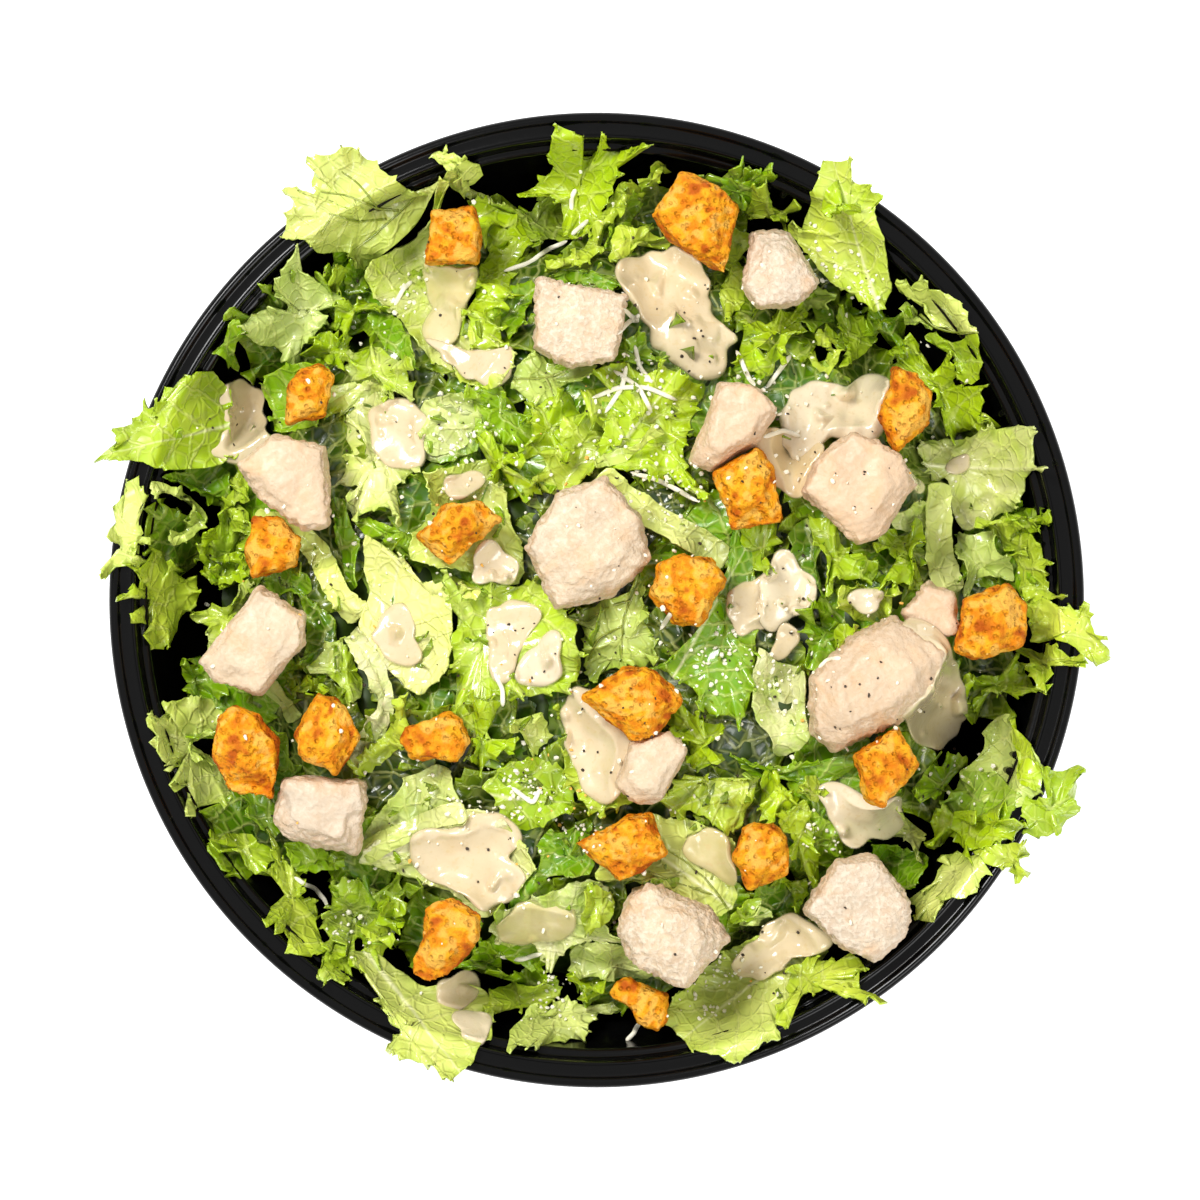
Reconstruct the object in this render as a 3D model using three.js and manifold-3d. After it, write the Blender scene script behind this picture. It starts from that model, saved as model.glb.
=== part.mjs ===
// A chicken caesar salad in its round black takeaway bowl, in millimetres, +Z up.
// The origin is the centre of the bowl's flat base. The bowl is one moulding; the lettuce is
// one heap that fills it and laps over the rim; the chicken dice and the croutons sit in it.
import * as THREE from "three";
import { mergeVertices } from "three/addons/utils/BufferGeometryUtils.js";
import Module from "manifold-3d";

const wasm = await Module();
wasm.setup();

// Driving dimensions
const RIM_R = 115; // outside radius of the rim
const BOWL_H = 58; // top of the rim's bead above the table
const BASE_R = 68; // flat base and floor
const WALL = 1.2; // plastic thickness
const FLOOR_Z = 2.4; // inside floor
const LEDGE_Z = 50.4; // lid ledge inside the rim
const LEDGE_R = 106.5; // inside radius where the wall meets the ledge
const LIP_R = 108.8; // inside radius of the rim above the ledge
const BEAD_W = 2.4; // rounded bead round the outside of the rim
const SKIRT_H = 5.5; // how far the rim's skirt hangs down
const TURNS = 40; // segments round the bowl and the heap
const SEAT_GAP = 0.35; // clearance that touching pieces keep

const TAU = Math.PI * 2;
const deg = THREE.MathUtils.degToRad;

const material = (color, roughness) =>
  new THREE.MeshStandardMaterial({ color, roughness, metalness: 0 });
const plastic = material(0x161618, 0.32);
const lettuce = material(0xa1b624, 0.5);
const chickenMeat = material(0xf7dfba, 0.62);
const toastedBread = material(0xf0a02a, 0.8);

// Closed triangle geometry to manifold solid, and back
function solidOf(geometry) {
  const bare = new THREE.BufferGeometry();
  bare.setAttribute("position", geometry.getAttribute("position"));
  bare.setIndex(geometry.index);
  const merged = mergeVertices(bare, 1e-3);
  return new wasm.Manifold(
    new wasm.Mesh({
      numProp: 3,
      vertProperties: new Float32Array(merged.attributes.position.array),
      triVerts: new Uint32Array(merged.index.array),
    }),
  );
}

function meshOf(name, solid, look) {
  const found = solid.getMesh();
  const stride = found.numProp;
  const points = new Float32Array(found.numVert * 3);
  for (let i = 0; i < found.numVert; i++)
    points.set(found.vertProperties.subarray(i * stride, i * stride + 3), i * 3);
  const geometry = new THREE.BufferGeometry();
  geometry.setAttribute("position", new THREE.BufferAttribute(points, 3));
  geometry.setIndex(new THREE.BufferAttribute(new Uint32Array(found.triVerts), 1));
  geometry.computeVertexNormals();
  const mesh = new THREE.Mesh(geometry, look);
  mesh.name = name;
  return mesh;
}

// A profile of [radius, height] pairs, turned round the bowl's axis
function turned(profile) {
  const points = profile.map(([r, z]) => new THREE.Vector2(r, z));
  return solidOf(new THREE.LatheGeometry(points, TURNS).rotateX(Math.PI / 2));
}

// The inside of the bowl's wall: flat at the floor, curving up until it stands at the ledge
const WALL_STEPS = 6;
function wallPoint(t) {
  const r = BASE_R + (LEDGE_R - BASE_R) * (1 - (1 - t) ** 1.6);
  const z = FLOOR_Z + (LEDGE_Z - FLOOR_Z) * t ** 1.5;
  return [r, z];
}

// The same curve moved square to itself, outwards for a positive offset
function wallCurve(offset) {
  const curve = [];
  for (let i = 0; i <= WALL_STEPS; i++) {
    const t = i / WALL_STEPS;
    const [r0, z0] = wallPoint(Math.max(0, t - 0.01));
    const [r1, z1] = wallPoint(Math.min(1, t + 0.01));
    const length = Math.hypot(r1 - r0, z1 - z0);
    const [r, z] = wallPoint(t);
    curve.push([r + (offset * (z1 - z0)) / length, z - (offset * (r1 - r0)) / length]);
  }
  return curve;
}

// Inside radius of the wall at a height
function wallRadius(z) {
  return wallPoint(((z - FLOOR_Z) / (LEDGE_Z - FLOOR_Z)) ** (1 / 1.5))[0];
}

// The bowl: base, curved wall, lid ledge, flat rim band, bead and skirt, as one profile
const BAND_Z = BOWL_H - 1.2;
const BAND_R = RIM_R - BEAD_W;
function bowlSolid() {
  const outside = wallCurve(WALL).slice(1, -1);
  const rim = [
    [LEDGE_R + WALL, LEDGE_Z - WALL],
    [LIP_R + WALL, LEDGE_Z - WALL],
    [LIP_R + WALL, BAND_Z - WALL],
    [RIM_R - WALL, BAND_Z - WALL],
    [RIM_R - WALL, BOWL_H - SKIRT_H],
    [RIM_R, BOWL_H - SKIRT_H],
    [RIM_R, BOWL_H - 0.8],
    [RIM_R - 0.4 * BEAD_W, BOWL_H],
    [BAND_R + 0.4, BOWL_H - 0.4],
    [BAND_R, BAND_Z],
    [LIP_R + 1.0, BAND_Z],
    [LIP_R + 0.4, BAND_Z + 0.5],
    [LIP_R, BAND_Z],
    [LIP_R - 0.5, LEDGE_Z],
  ];
  const inside = wallCurve(0).reverse();
  const shell = turned([[0, 0], [BASE_R, 0], ...outside, ...rim, ...inside, [0, FLOOR_Z]]);
  return lugs().reduce((bowl, lug) => bowl.add(lug), shell);
}

// Stacking lugs: pairs of short upright ribs on the wall, just under the ledge
const LUG_PAIRS = 8;
const LUG = { wide: 2.2, proud: 1.3, tall: 9, top: LEDGE_Z - 1.5, spread: deg(2.2) };
function lugs() {
  const made = [];
  for (let pair = 0; pair < LUG_PAIRS; pair++)
    for (const side of [-1, 1]) {
      const rib = new THREE.BoxGeometry(2, LUG.wide, LUG.tall);
      rib.translate(0, 0, LUG.top - LUG.tall / 2);
      const place = rib.getAttribute("position");
      for (let i = 0; i < place.count; i++) {
        const reach = place.getX(i) < 0 ? -LUG.proud : WALL / 2;
        place.setX(i, wallRadius(place.getZ(i)) + reach);
      }
      rib.rotateZ((TAU * (pair + 0.5)) / LUG_PAIRS + side * LUG.spread);
      made.push(solidOf(rib));
    }
  return made;
}

// All that the food keeps clear of: the bowl with a gap inside it, and the room round it
// up to the rim, so that the food rests on the floor and its leaves lap over the rim
const WALL_GAP = 1.9; // leaves lie a little loose of the wall
const FAR_R = RIM_R + 20;
const RIM_CLEAR_Z = BOWL_H + SEAT_GAP;
function bowlClearance() {
  const inner = wallCurve(-SEAT_GAP).map(([r, z], i) => [
    r - (WALL_GAP * i) / WALL_STEPS,
    z,
  ]);
  return turned([
    [0, -10],
    [FAR_R, -10],
    [FAR_R, RIM_CLEAR_Z],
    [LEDGE_R - WALL_GAP, RIM_CLEAR_Z],
    ...inner.reverse(),
    [0, FLOOR_Z + SEAT_GAP],
  ]);
}

// The heap's outline: how far the leaves reach, by bearing. Lobes lap over the rim,
// and between them the leaves stop short of the wall.
const SHORT_R = 96;
const LOBES = [
  { at: 122, reach: 119, half: 13 }, // broad pale leaf
  { at: 160, reach: 118.5, half: 9 }, // pointed leaf
  { at: 172, reach: 115, half: 11 }, // frilly leaf beside it
  { at: 250, reach: 118.5, half: 9 },
  { at: 291, reach: 113.5, half: 9 },
  { at: 308, reach: 112.5, half: 6 },
  { at: 327, reach: 119, half: 9 },
  { at: 337, reach: 121.5, half: 8 },
  { at: 356, reach: 119, half: 12 },
  { at: 58, reach: 119, half: 9 },
  { at: 92, reach: 112, half: 7 },
  { at: 196, reach: 103, half: 14 },
  { at: 225, reach: 102, half: 16 },
  { at: 38, reach: 103, half: 14 },
];

function bearingGap(a, b) {
  return Math.abs(((a - b + 540) % 360) - 180);
}

function reachAt(bearing) {
  const ragged = 1.6 * Math.sin(deg(7 * bearing)) + 1.1 * Math.cos(deg(11 * bearing + 40));
  return LOBES.reduce((reach, lobe) => {
    const share = Math.max(0, 1 - (bearingGap(bearing, lobe.at) / lobe.half) ** 2);
    return Math.max(reach, SHORT_R + (lobe.reach - SHORT_R) * Math.sqrt(share));
  }, SHORT_R + ragged);
}

// Height of the heap's top: a low dome with uneven hummocks, dropping towards the wall
const DOME_Z = BOWL_H + 9;
const DOME_FALL = 13;
function hummocks(x, y) {
  return (
    1.5 * Math.sin(0.105 * x + 0.4) * Math.cos(0.12 * y - 0.5) +
    1.1 * Math.sin(0.19 * x - 0.16 * y + 1.3) +
    0.7 * Math.cos(0.27 * x + 0.22 * y)
  );
}

function domeTop(x, y) {
  const r = Math.hypot(x, y);
  return DOME_Z - DOME_FALL * (r / 100) ** 2.4 + hummocks(x, y);
}

const EDGE_Z = 45; // top of the heap where it stops short of the wall
const LAP_THICK = 3.4; // depth of the leaves that lap over the rim
const SHOULDER_R = 84; // where the heap starts to fall to its edge
const TOP_RINGS = 6;
function heapSolid() {
  const points = [0, 0, -5, 0, 0, domeTop(0, 0)];
  for (let i = 0; i < TURNS; i++) {
    const bearing = (360 * i) / TURNS;
    const reach = reachAt(bearing);
    const laps = THREE.MathUtils.smoothstep(reach, 104, 109);
    const edge = EDGE_Z + (RIM_CLEAR_Z + LAP_THICK - EDGE_Z) * laps;
    for (let ring = 0; ring <= TOP_RINGS; ring++) {
      const r = ring === 0 ? reach : (reach * (TOP_RINGS + 1 - ring)) / TOP_RINGS;
      const x = r * Math.cos(deg(bearing));
      const y = r * Math.sin(deg(bearing));
      const fall = THREE.MathUtils.smoothstep(r, SHOULDER_R, reach);
      const top = domeTop(x, y) * (1 - fall) + edge * fall;
      points.push(x, y, ring === 0 ? -5 : top);
    }
  }
  const rows = TOP_RINGS + 1;
  const at = (i, ring) => 2 + (i % TURNS) * rows + ring;
  const faces = [];
  for (let i = 0; i < TURNS; i++) {
    faces.push(0, at(i + 1, 0), at(i, 0), 1, at(i, rows - 1), at(i + 1, rows - 1));
    for (let ring = 0; ring < TOP_RINGS; ring++)
      faces.push(
        ...[at(i, ring), at(i + 1, ring), at(i + 1, ring + 1)],
        ...[at(i, ring), at(i + 1, ring + 1), at(i, ring + 1)],
      );
  }
  const geometry = new THREE.BufferGeometry();
  geometry.setAttribute("position", new THREE.Float32BufferAttribute(points, 3));
  geometry.setIndex(faces);
  return solidOf(geometry);
}

// A hand-cut piece: rings of its plan outline, stacked from its sunken foot to its top.
// A ring is a share of the outline's reach at a share of the piece's height below its top.
// A corner's third number is how far the top slopes down to it.
function chunkSolid(chunk, kind, grow) {
  const { proud, tall, corners } = chunk;
  const count = corners.length;
  const midX = corners.reduce((sum, corner) => sum + corner[0], 0) / count;
  const midY = corners.reduce((sum, corner) => sum + corner[1], 0) / count;
  const top = domeTop(midX, midY) + proud;
  const points = [midX, midY, top - tall - grow, midX, midY, top + grow];
  kind.rings.forEach(([share, depth], ring) => {
    const level = top - depth * tall + grow * (ring === 0 ? -1 : depth < 0.1 ? 1 : 0);
    for (const [x, y, drop = 0] of corners) {
      const reach = Math.hypot(x - midX, y - midY);
      const scale = share * (1 + (1.7 * grow) / reach);
      const slope = depth < 0.3 && share > 0.6 ? drop : 0;
      points.push(midX + (x - midX) * scale, midY + (y - midY) * scale, level - slope);
    }
  });
  const at = (ring, i) => 2 + ring * count + (i % count);
  const last = kind.rings.length - 1;
  const faces = [];
  for (let i = 0; i < count; i++) {
    faces.push(0, at(0, i + 1), at(0, i), 1, at(last, i), at(last, i + 1));
    for (let ring = 0; ring < last; ring++)
      faces.push(
        ...[at(ring, i), at(ring, i + 1), at(ring + 1, i + 1)],
        ...[at(ring, i), at(ring + 1, i + 1), at(ring + 1, i)],
      );
  }
  const geometry = new THREE.BufferGeometry();
  geometry.setAttribute("position", new THREE.Float32BufferAttribute(points, 3));
  geometry.setIndex(faces);
  return solidOf(geometry);
}

// Diced chicken breast: square cut sides and a nearly flat top. Each row is how proud the
// piece lies, its height, and the corners of its plan, anticlockwise.
const CHICKEN = {
  name: "chicken",
  look: chickenMeat,
  rings: [[0.86, 1], [1, 0.8], [1, 0.2], [0.93, 0.05], [0.55, 0.01]],
};
const CHICKEN_DICE = [
  { proud: 11, tall: 15, corners: [[-14.5, 59], [-6, 54.5], [4, 56.5], [7.3, 71], [-14, 75.5]] },
  {
    proud: 8.5,
    tall: 14,
    corners: [[34.5, 74], [38, 68.8], [47, 69.5], [52.3, 74.5], [45.5, 86.5, 4], [37, 87, 4]],
  },
  {
    proud: 13,
    tall: 17,
    corners: [[21.5, 32, 5], [26.5, 29.5, 5], [38.5, 37.5, 4], [42, 45], [37.5, 49.5], [29, 50.8]],
  },
  {
    proud: 13,
    tall: 17,
    corners: [[-84, 31.5, 2], [-79, 24, 3], [-68, 16.5], [-62.5, 17], [-63.5, 36], [-76, 38.5]],
  },
  {
    proud: 13,
    tall: 17,
    corners: [[-93.2, -14.5, 4], [-90, -19, 4], [-79, -22.2], [-68.5, -10], [-69, -3.5], [-79, 3]],
  },
  {
    proud: 13.5,
    tall: 18,
    corners: [
      ...[[-16.5, 12], [-9.5, -2, 2], [4, 1.2, 3], [12.5, 9.5, 3]],
      ...[[10, 19], [2, 28.8], [-9.5, 24.5]],
    ],
  },
  {
    proud: 12,
    tall: 16,
    corners: [[-75.8, -52, 4], [-72, -56, 5], [-56, -60.3, 5], [-54.3, -47], [-55, -42.8], [-73.5, -41.5]],
  },
  {
    proud: 13.5,
    tall: 18,
    corners: [[48, 25.5], [61.5, 12.8, 2], [66, 14.5, 3], [75, 27, 3], [71, 34], [60, 39.5], [51, 32]],
  },
  {
    proud: 16,
    tall: 22,
    corners: [
      ...[[50, -18, 2], [50.5, -31, 3], [55.5, -35.8, 6], [71, -28.8, 6]],
      ...[[79, -22, 5], [82, -12, 3], [70, -4, 3], [60, -8.5, 3]],
    ],
  },
  {
    proud: 10,
    tall: 14,
    corners: [[4.3, -43.5, 2], [9.5, -47.5, 3], [15, -47, 2], [21, -35], [17, -31], [8, -33.5]],
  },
  {
    proud: 15,
    tall: 19,
    corners: [
      ...[[5, -78, 2], [9, -85.5, 2], [21, -91], [31, -79.5, 5]],
      ...[[27, -72.8, 4], [12, -66.5], [7.5, -70]],
    ],
  },
  {
    proud: 14.5,
    tall: 18,
    corners: [
      ...[[48.8, -73], [58, -81.5], [65, -85, 3], [73, -79, 2]],
      ...[[73.5, -70.5], [65, -60], [56.5, -61.5]],
    ],
  },
  { proud: 6.5, tall: 11, corners: [[72, -3], [76, -9], [85, -8], [84, 2], [78, 4]] },
];

// Croutons: small toasted bread cubes, rounded by handling, some worn to wedges
const CROUTON = {
  name: "crouton",
  look: toastedBread,
  rings: [[0.75, 1], [0.98, 0.75], [1, 0.3], [0.88, 0.06], [0.45, 0]],
};
const CROUTONS = [
  { proud: 9, tall: 12, corners: [[-40.5, 79], [-28, 79], [-27, 87], [-29, 92.5, 2], [-38.5, 91.5, 2]] },
  {
    proud: 13,
    tall: 15,
    corners: [[13, 90.5], [17, 84.5], [30, 76.5, 3], [33.5, 92, 3], [28, 98], [19.5, 100.5]],
  },
  {
    proud: 7.5,
    tall: 11,
    corners: [[-73.2, 48], [-73, 40.8], [-64, 43.5, 2], [-61.5, 52.8, 2], [-65, 55.5], [-70, 54.5]],
  },
  {
    proud: 8,
    tall: 11,
    corners: [[-82.8, 10.8], [-80.8, 5], [-70.4, 8], [-69.2, 14.5], [-75, 20, 3], [-80.8, 19.5, 3]],
  },
  {
    proud: 11.5,
    tall: 12,
    corners: [[-41.5, 15], [-38, 10.5, 3], [-34.5, 8, 4], [-22, 18.8, 3], [-27, 23.2], [-35, 22.5]],
  },
  { proud: 12.5, tall: 14, corners: [[27.5, 29.5], [31.5, 16.5, 4], [43.5, 18.5, 4], [41, 31], [37.5, 36]] },
  {
    proud: 10.5,
    tall: 14,
    corners: [[12.3, 1.5], [18, -5.5], [24, -6.5], [30.5, 5], [27, 9.5], [20, 11.2], [14.5, 8.5]],
  },
  {
    proud: 9.5,
    tall: 11,
    corners: [[66, 43], [70.3, 34], [77.8, 41, 2], [79, 49, 3], [75, 53.5, 3], [70, 54.5]],
  },
  {
    proud: 14.5,
    tall: 15,
    corners: [[84, -12], [88, -14.2], [100.5, -11, 2], [101, -1, 3], [96, 3.6], [86, 0.5]],
  },
  {
    proud: 14,
    tall: 14,
    corners: [
      ...[[-90, -36.5], [-86.5, -44.5, 6], [-76, -46.5, 6], [-74.5, -33]],
      ...[[-79, -27], [-85, -24.8], [-89, -28]],
    ],
  },
  {
    proud: 12.5,
    tall: 14,
    corners: [[-71, -32], [-68.5, -37.5], [-61, -41, 2], [-55, -32, 4], [-60, -23.5], [-65.5, -21.5]],
  },
  {
    proud: 7.5,
    tall: 9,
    corners: [[-46, -33], [-43.5, -37], [-32.5, -38], [-29.8, -33], [-31.5, -27], [-36, -27], [-44.5, -29.8]],
  },
  {
    proud: 14.5,
    tall: 13,
    corners: [[-3.5, -22.5], [9, -33.8, 3], [13, -32.5, 3], [20.5, -23.5, 2], [13, -16.2], [6.5, -15.5]],
  },
  { proud: 12, tall: 13, corners: [[60, -36.5], [63, -46.5], [67, -49], [75.8, -38.5, 3], [70.5, -29.5]] },
  { proud: 10, tall: 12, corners: [[-5, -57], [5.5, -66, 2], [16.8, -59.5], [12.5, -50], [7, -51]] },
  {
    proud: 9.5,
    tall: 12,
    corners: [[32.3, -61], [35.5, -68.3, 2], [44.5, -64.5, 3], [45, -56], [41.5, -52.5], [34, -53]],
  },
  {
    proud: 11.5,
    tall: 12,
    corners: [
      ...[[-43.5, -88, 4], [-40, -89.8, 4], [-34, -87.5, 3], [-27, -79]],
      ...[[-27.5, -74], [-34, -69.8], [-39.5, -72.5]],
    ],
  },
  { proud: -1.5, tall: 9, corners: [[3, -93], [14.5, -102.5], [17.5, -100], [17, -93.5], [6.5, -89]] },
];

function chunkSolids(kind, rows) {
  return rows.map((row, i) => ({
    name: kind.name + "_" + String(i + 1).padStart(2, "0"),
    look: kind.look,
    solid: chunkSolid(row, kind, 0),
    grown: chunkSolid(row, kind, SEAT_GAP),
  }));
}

// The salad, put together: each chunk presses its own seat into the heap
const clearance = bowlClearance();
const chunks = [...chunkSolids(CHICKEN, CHICKEN_DICE), ...chunkSolids(CROUTON, CROUTONS)];
chunks.forEach((chunk, i) => {
  chunk.solid = chunk.solid.subtract(clearance);
  for (const earlier of chunks.slice(0, i))
    chunk.solid = chunk.solid.subtract(earlier.grown);
});
const heap = chunks.reduce(
  (left, chunk) => left.subtract(chunk.grown),
  heapSolid().subtract(clearance),
);

const salad = new THREE.Group();
salad.name = "chicken_caesar_salad";
salad.add(meshOf("bowl", bowlSolid(), plastic));
salad.add(meshOf("lettuce_heap", heap, lettuce));
for (const chunk of chunks) salad.add(meshOf(chunk.name, chunk.solid, chunk.look));

export default salad;
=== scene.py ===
import math

import bpy
import numpy as np
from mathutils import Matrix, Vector


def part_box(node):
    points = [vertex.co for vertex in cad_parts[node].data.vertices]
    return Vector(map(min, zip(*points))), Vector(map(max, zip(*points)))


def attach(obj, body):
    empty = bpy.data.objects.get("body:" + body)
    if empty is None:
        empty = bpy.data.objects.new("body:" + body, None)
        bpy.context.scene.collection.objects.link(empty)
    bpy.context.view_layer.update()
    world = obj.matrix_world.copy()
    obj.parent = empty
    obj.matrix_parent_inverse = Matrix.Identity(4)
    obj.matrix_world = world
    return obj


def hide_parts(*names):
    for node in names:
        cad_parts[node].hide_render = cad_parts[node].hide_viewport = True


# A chicken caesar salad in a round black takeaway bowl, seen from straight above.
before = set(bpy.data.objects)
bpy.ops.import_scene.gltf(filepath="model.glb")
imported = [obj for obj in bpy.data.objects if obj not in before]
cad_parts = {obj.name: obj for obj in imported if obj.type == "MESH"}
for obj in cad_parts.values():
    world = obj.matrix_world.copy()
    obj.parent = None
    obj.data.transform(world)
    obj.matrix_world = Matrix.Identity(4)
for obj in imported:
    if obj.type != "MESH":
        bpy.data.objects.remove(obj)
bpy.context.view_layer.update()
MM = 0.001

# ---------------------------------------------------------------- bowl
# The bowl is vacuum-formed from black plastic sheet: a curved wall, a ledge for the lid and a
# flat rim that ends in a rolled bead. Short ribs under the ledge keep stacked bowls apart.
RIM_R, BOWL_H, BASE_R, WALL, FLOOR_Z = 115.0, 58.0, 68.0, 1.2, 2.4
LEDGE_Z, LEDGE_R, LIP_R = 50.4, 106.5, 108.8
BOWL_TURNS = 288


class Value:
    """A shader socket. Arithmetic on it adds Math nodes, so a pattern reads as a formula."""

    def __init__(self, finish, socket):
        self.finish = finish
        self.socket = socket

    def math(self, operation, *others):
        return self.finish.node("ShaderNodeMath", {"operation": operation}, self, *others)

    def __add__(self, other):
        return self.math("ADD", other)

    __radd__ = __add__

    def __sub__(self, other):
        return self.math("SUBTRACT", other)

    def __rsub__(self, other):
        return self.finish.node("ShaderNodeMath", {"operation": "SUBTRACT"}, other, self)

    def __mul__(self, other):
        return self.math("MULTIPLY", other)

    __rmul__ = __mul__

    def __truediv__(self, other):
        return self.math("DIVIDE", other)

    def __abs__(self):
        return self.math("ABSOLUTE")

    def ramp(self, low, high):
        """0 below low, 1 above high, and a smooth step between (falling if low > high)."""
        if low > high:
            return 1 - self.ramp(high, low)
        settings = {"interpolation_type": "SMOOTHSTEP"}
        return self.finish.node("ShaderNodeMapRange", settings, self, low, high)


class Finish:
    """A material with one Principled shader. node() adds any node, set() fills the shader."""

    def __init__(self, name, **constants):
        self.material = bpy.data.materials.new(name)
        self.material.use_nodes = True
        self.tree = self.material.node_tree
        self.shader = self.tree.nodes["Principled BSDF"]
        self.set(**constants)

    def fill(self, socket, value):
        if isinstance(value, Value):
            self.tree.links.new(value.socket, socket)
        elif socket.type == "RGBA" and len(value) == 3:
            socket.default_value = (*value, 1.0)
        else:
            socket.default_value = value

    def node(self, kind, settings=None, *inputs, out=0, **named):
        node = self.tree.nodes.new(kind)
        for key, value in (settings or {}).items():
            setattr(node, key, value)
        for i, value in enumerate(inputs):
            self.fill(node.inputs[i], value)
        for key, value in named.items():
            self.fill(node.inputs[key.replace("_", " ")], value)
        return Value(self, node.outputs[out])

    def set(self, **inputs):
        for key, value in inputs.items():
            self.fill(self.shader.inputs[key.replace("_", " ")], value)

    def mix(self, share, first, second, blend="MIX"):
        """first where share is 0, second where it is 1, as colours."""
        node = self.tree.nodes.new("ShaderNodeMix")
        node.data_type = "RGBA"
        node.blend_type = blend
        self.fill(node.inputs[0], share)
        self.fill(node.inputs[6], first)
        self.fill(node.inputs[7], second)
        return Value(self, node.outputs[2])

    def noise(self, scale, vector, detail=2.0, rough=0.5):
        return self.node(
            "ShaderNodeTexNoise", {}, Vector=vector, Scale=scale, Detail=detail, Roughness=rough
        )

    def bump(self, height, strength, distance):
        normal = self.node(
            "ShaderNodeBump", {}, Height=height, Strength=strength, Distance=distance
        )
        self.set(Normal=normal)

    def places(self):
        return self.node("ShaderNodeTexCoord", {}, out=3)

    def channel(self, name, out=2):
        """A value (out 2) or a colour (out 0) stored on the piece's points."""
        return self.node("ShaderNodeAttribute", {"attribute_name": name}, out=out)


def srgb(red, green, blue):
    """Linear colour from screen values of 0 to 255: ((c + 0.055) / 1.055) ** 2.4."""
    c = np.array([red, green, blue]) / 255
    return tuple(np.where(c < 0.04045, c / 12.92, ((c + 0.055) / 1.055) ** 2.4).tolist())


def piece(name, points_mm, faces, finish, smooth=True, channels=None, uv=None):
    """One mesh piece from points in millimetres, with its point channels and UV in place."""
    mesh = bpy.data.meshes.new(name)
    mesh.from_pydata((np.asarray(points_mm) * MM).tolist(), [], faces)
    mesh.polygons.foreach_set("use_smooth", np.full(len(mesh.polygons), smooth))
    for key, values in (channels or {}).items():
        values = np.asarray(values, dtype=np.float32)
        if values.ndim == 2:
            layer = mesh.attributes.new(key, "FLOAT_COLOR", "POINT")
            full = np.column_stack([values, np.ones(len(values))])
            layer.data.foreach_set("color", full.astype(np.float32).ravel())
        else:
            mesh.attributes.new(key, "FLOAT", "POINT").data.foreach_set("value", values)
    if uv is not None:
        corners = np.empty(len(mesh.loops), dtype=np.int32)
        mesh.loops.foreach_get("vertex_index", corners)
        layer = mesh.uv_layers.new(name="leaf")
        layer.data.foreach_set("uv", np.asarray(uv, dtype=np.float32)[corners].ravel())
    mesh.materials.append(finish.material)
    mesh.update()
    made = bpy.data.objects.new(name, mesh)
    bpy.context.scene.collection.objects.link(made)
    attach(made, "root")
    return made


def grid_faces(rows, columns, wrap=True, start=0):
    """Quads of a grid of rows x columns points, joined round each row if wrap."""
    last = columns if wrap else columns - 1
    i, j = np.meshgrid(np.arange(rows - 1), np.arange(last), indexing="ij")
    k = (j + 1) % columns
    quads = [i * columns + j, i * columns + k, (i + 1) * columns + k, (i + 1) * columns + j]
    return (np.stack(quads, axis=-1).reshape(-1, 4) + start).tolist()


def turned(profile, turns):
    """A profile of (r, z), turned: (r cos a, r sin a, z). Its two ends close on the axis."""
    profile = np.asarray(profile, dtype=float)
    angle = np.linspace(0, 2 * np.pi, turns, endpoint=False)
    x = profile[1:-1, :1] * np.cos(angle)
    y = profile[1:-1, :1] * np.sin(angle)
    z = np.repeat(profile[1:-1, 1:], turns, axis=1)
    points = np.stack([x, y, z], axis=-1).reshape(-1, 3)
    faces = grid_faces(len(profile) - 2, turns)
    low, high = len(points), len(points) + 1
    points = np.vstack([points, [0, 0, profile[0, 1]], [0, 0, profile[-1, 1]]])
    j = np.arange(turns)
    k = (j + 1) % turns
    top = (len(profile) - 3) * turns
    faces += np.column_stack([np.full(turns, low), k, j]).tolist()
    faces += np.column_stack([np.full(turns, high), top + j, top + k]).tolist()
    return points, faces


def wall_curve(offset, steps=28):
    """r = base + reach (1 - (1 - t)^1.6), z = floor + rise t^1.5, moved square to itself."""
    t = np.linspace(0, 1, steps)
    r = BASE_R + (LEDGE_R - BASE_R) * (1 - (1 - t) ** 1.6)
    z = FLOOR_Z + (LEDGE_Z - FLOOR_Z) * t**1.5
    slope = np.stack([np.gradient(r), np.gradient(z)])
    slope /= np.hypot(*slope)
    return np.column_stack([r + offset * slope[1], z - offset * slope[0]])


def rounded(points, radius, steps=4):
    """Each inner corner of an open line is replaced by a quadratic bend of that radius."""
    points = [np.asarray(p, dtype=float) for p in points]
    line = [points[0]]
    for before, corner, after in zip(points, points[1:], points[2:]):
        reach_in = min(radius, 0.45 * np.linalg.norm(corner - before))
        reach_out = min(radius, 0.45 * np.linalg.norm(after - corner))
        a = corner + (before - corner) / np.linalg.norm(before - corner) * reach_in
        b = corner + (after - corner) / np.linalg.norm(after - corner) * reach_out
        line += [
            a * (1 - t) ** 2 + 2 * corner * t * (1 - t) + b * t**2
            for t in np.linspace(0, 1, steps)
        ]
    return line + [points[-1]]


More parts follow.
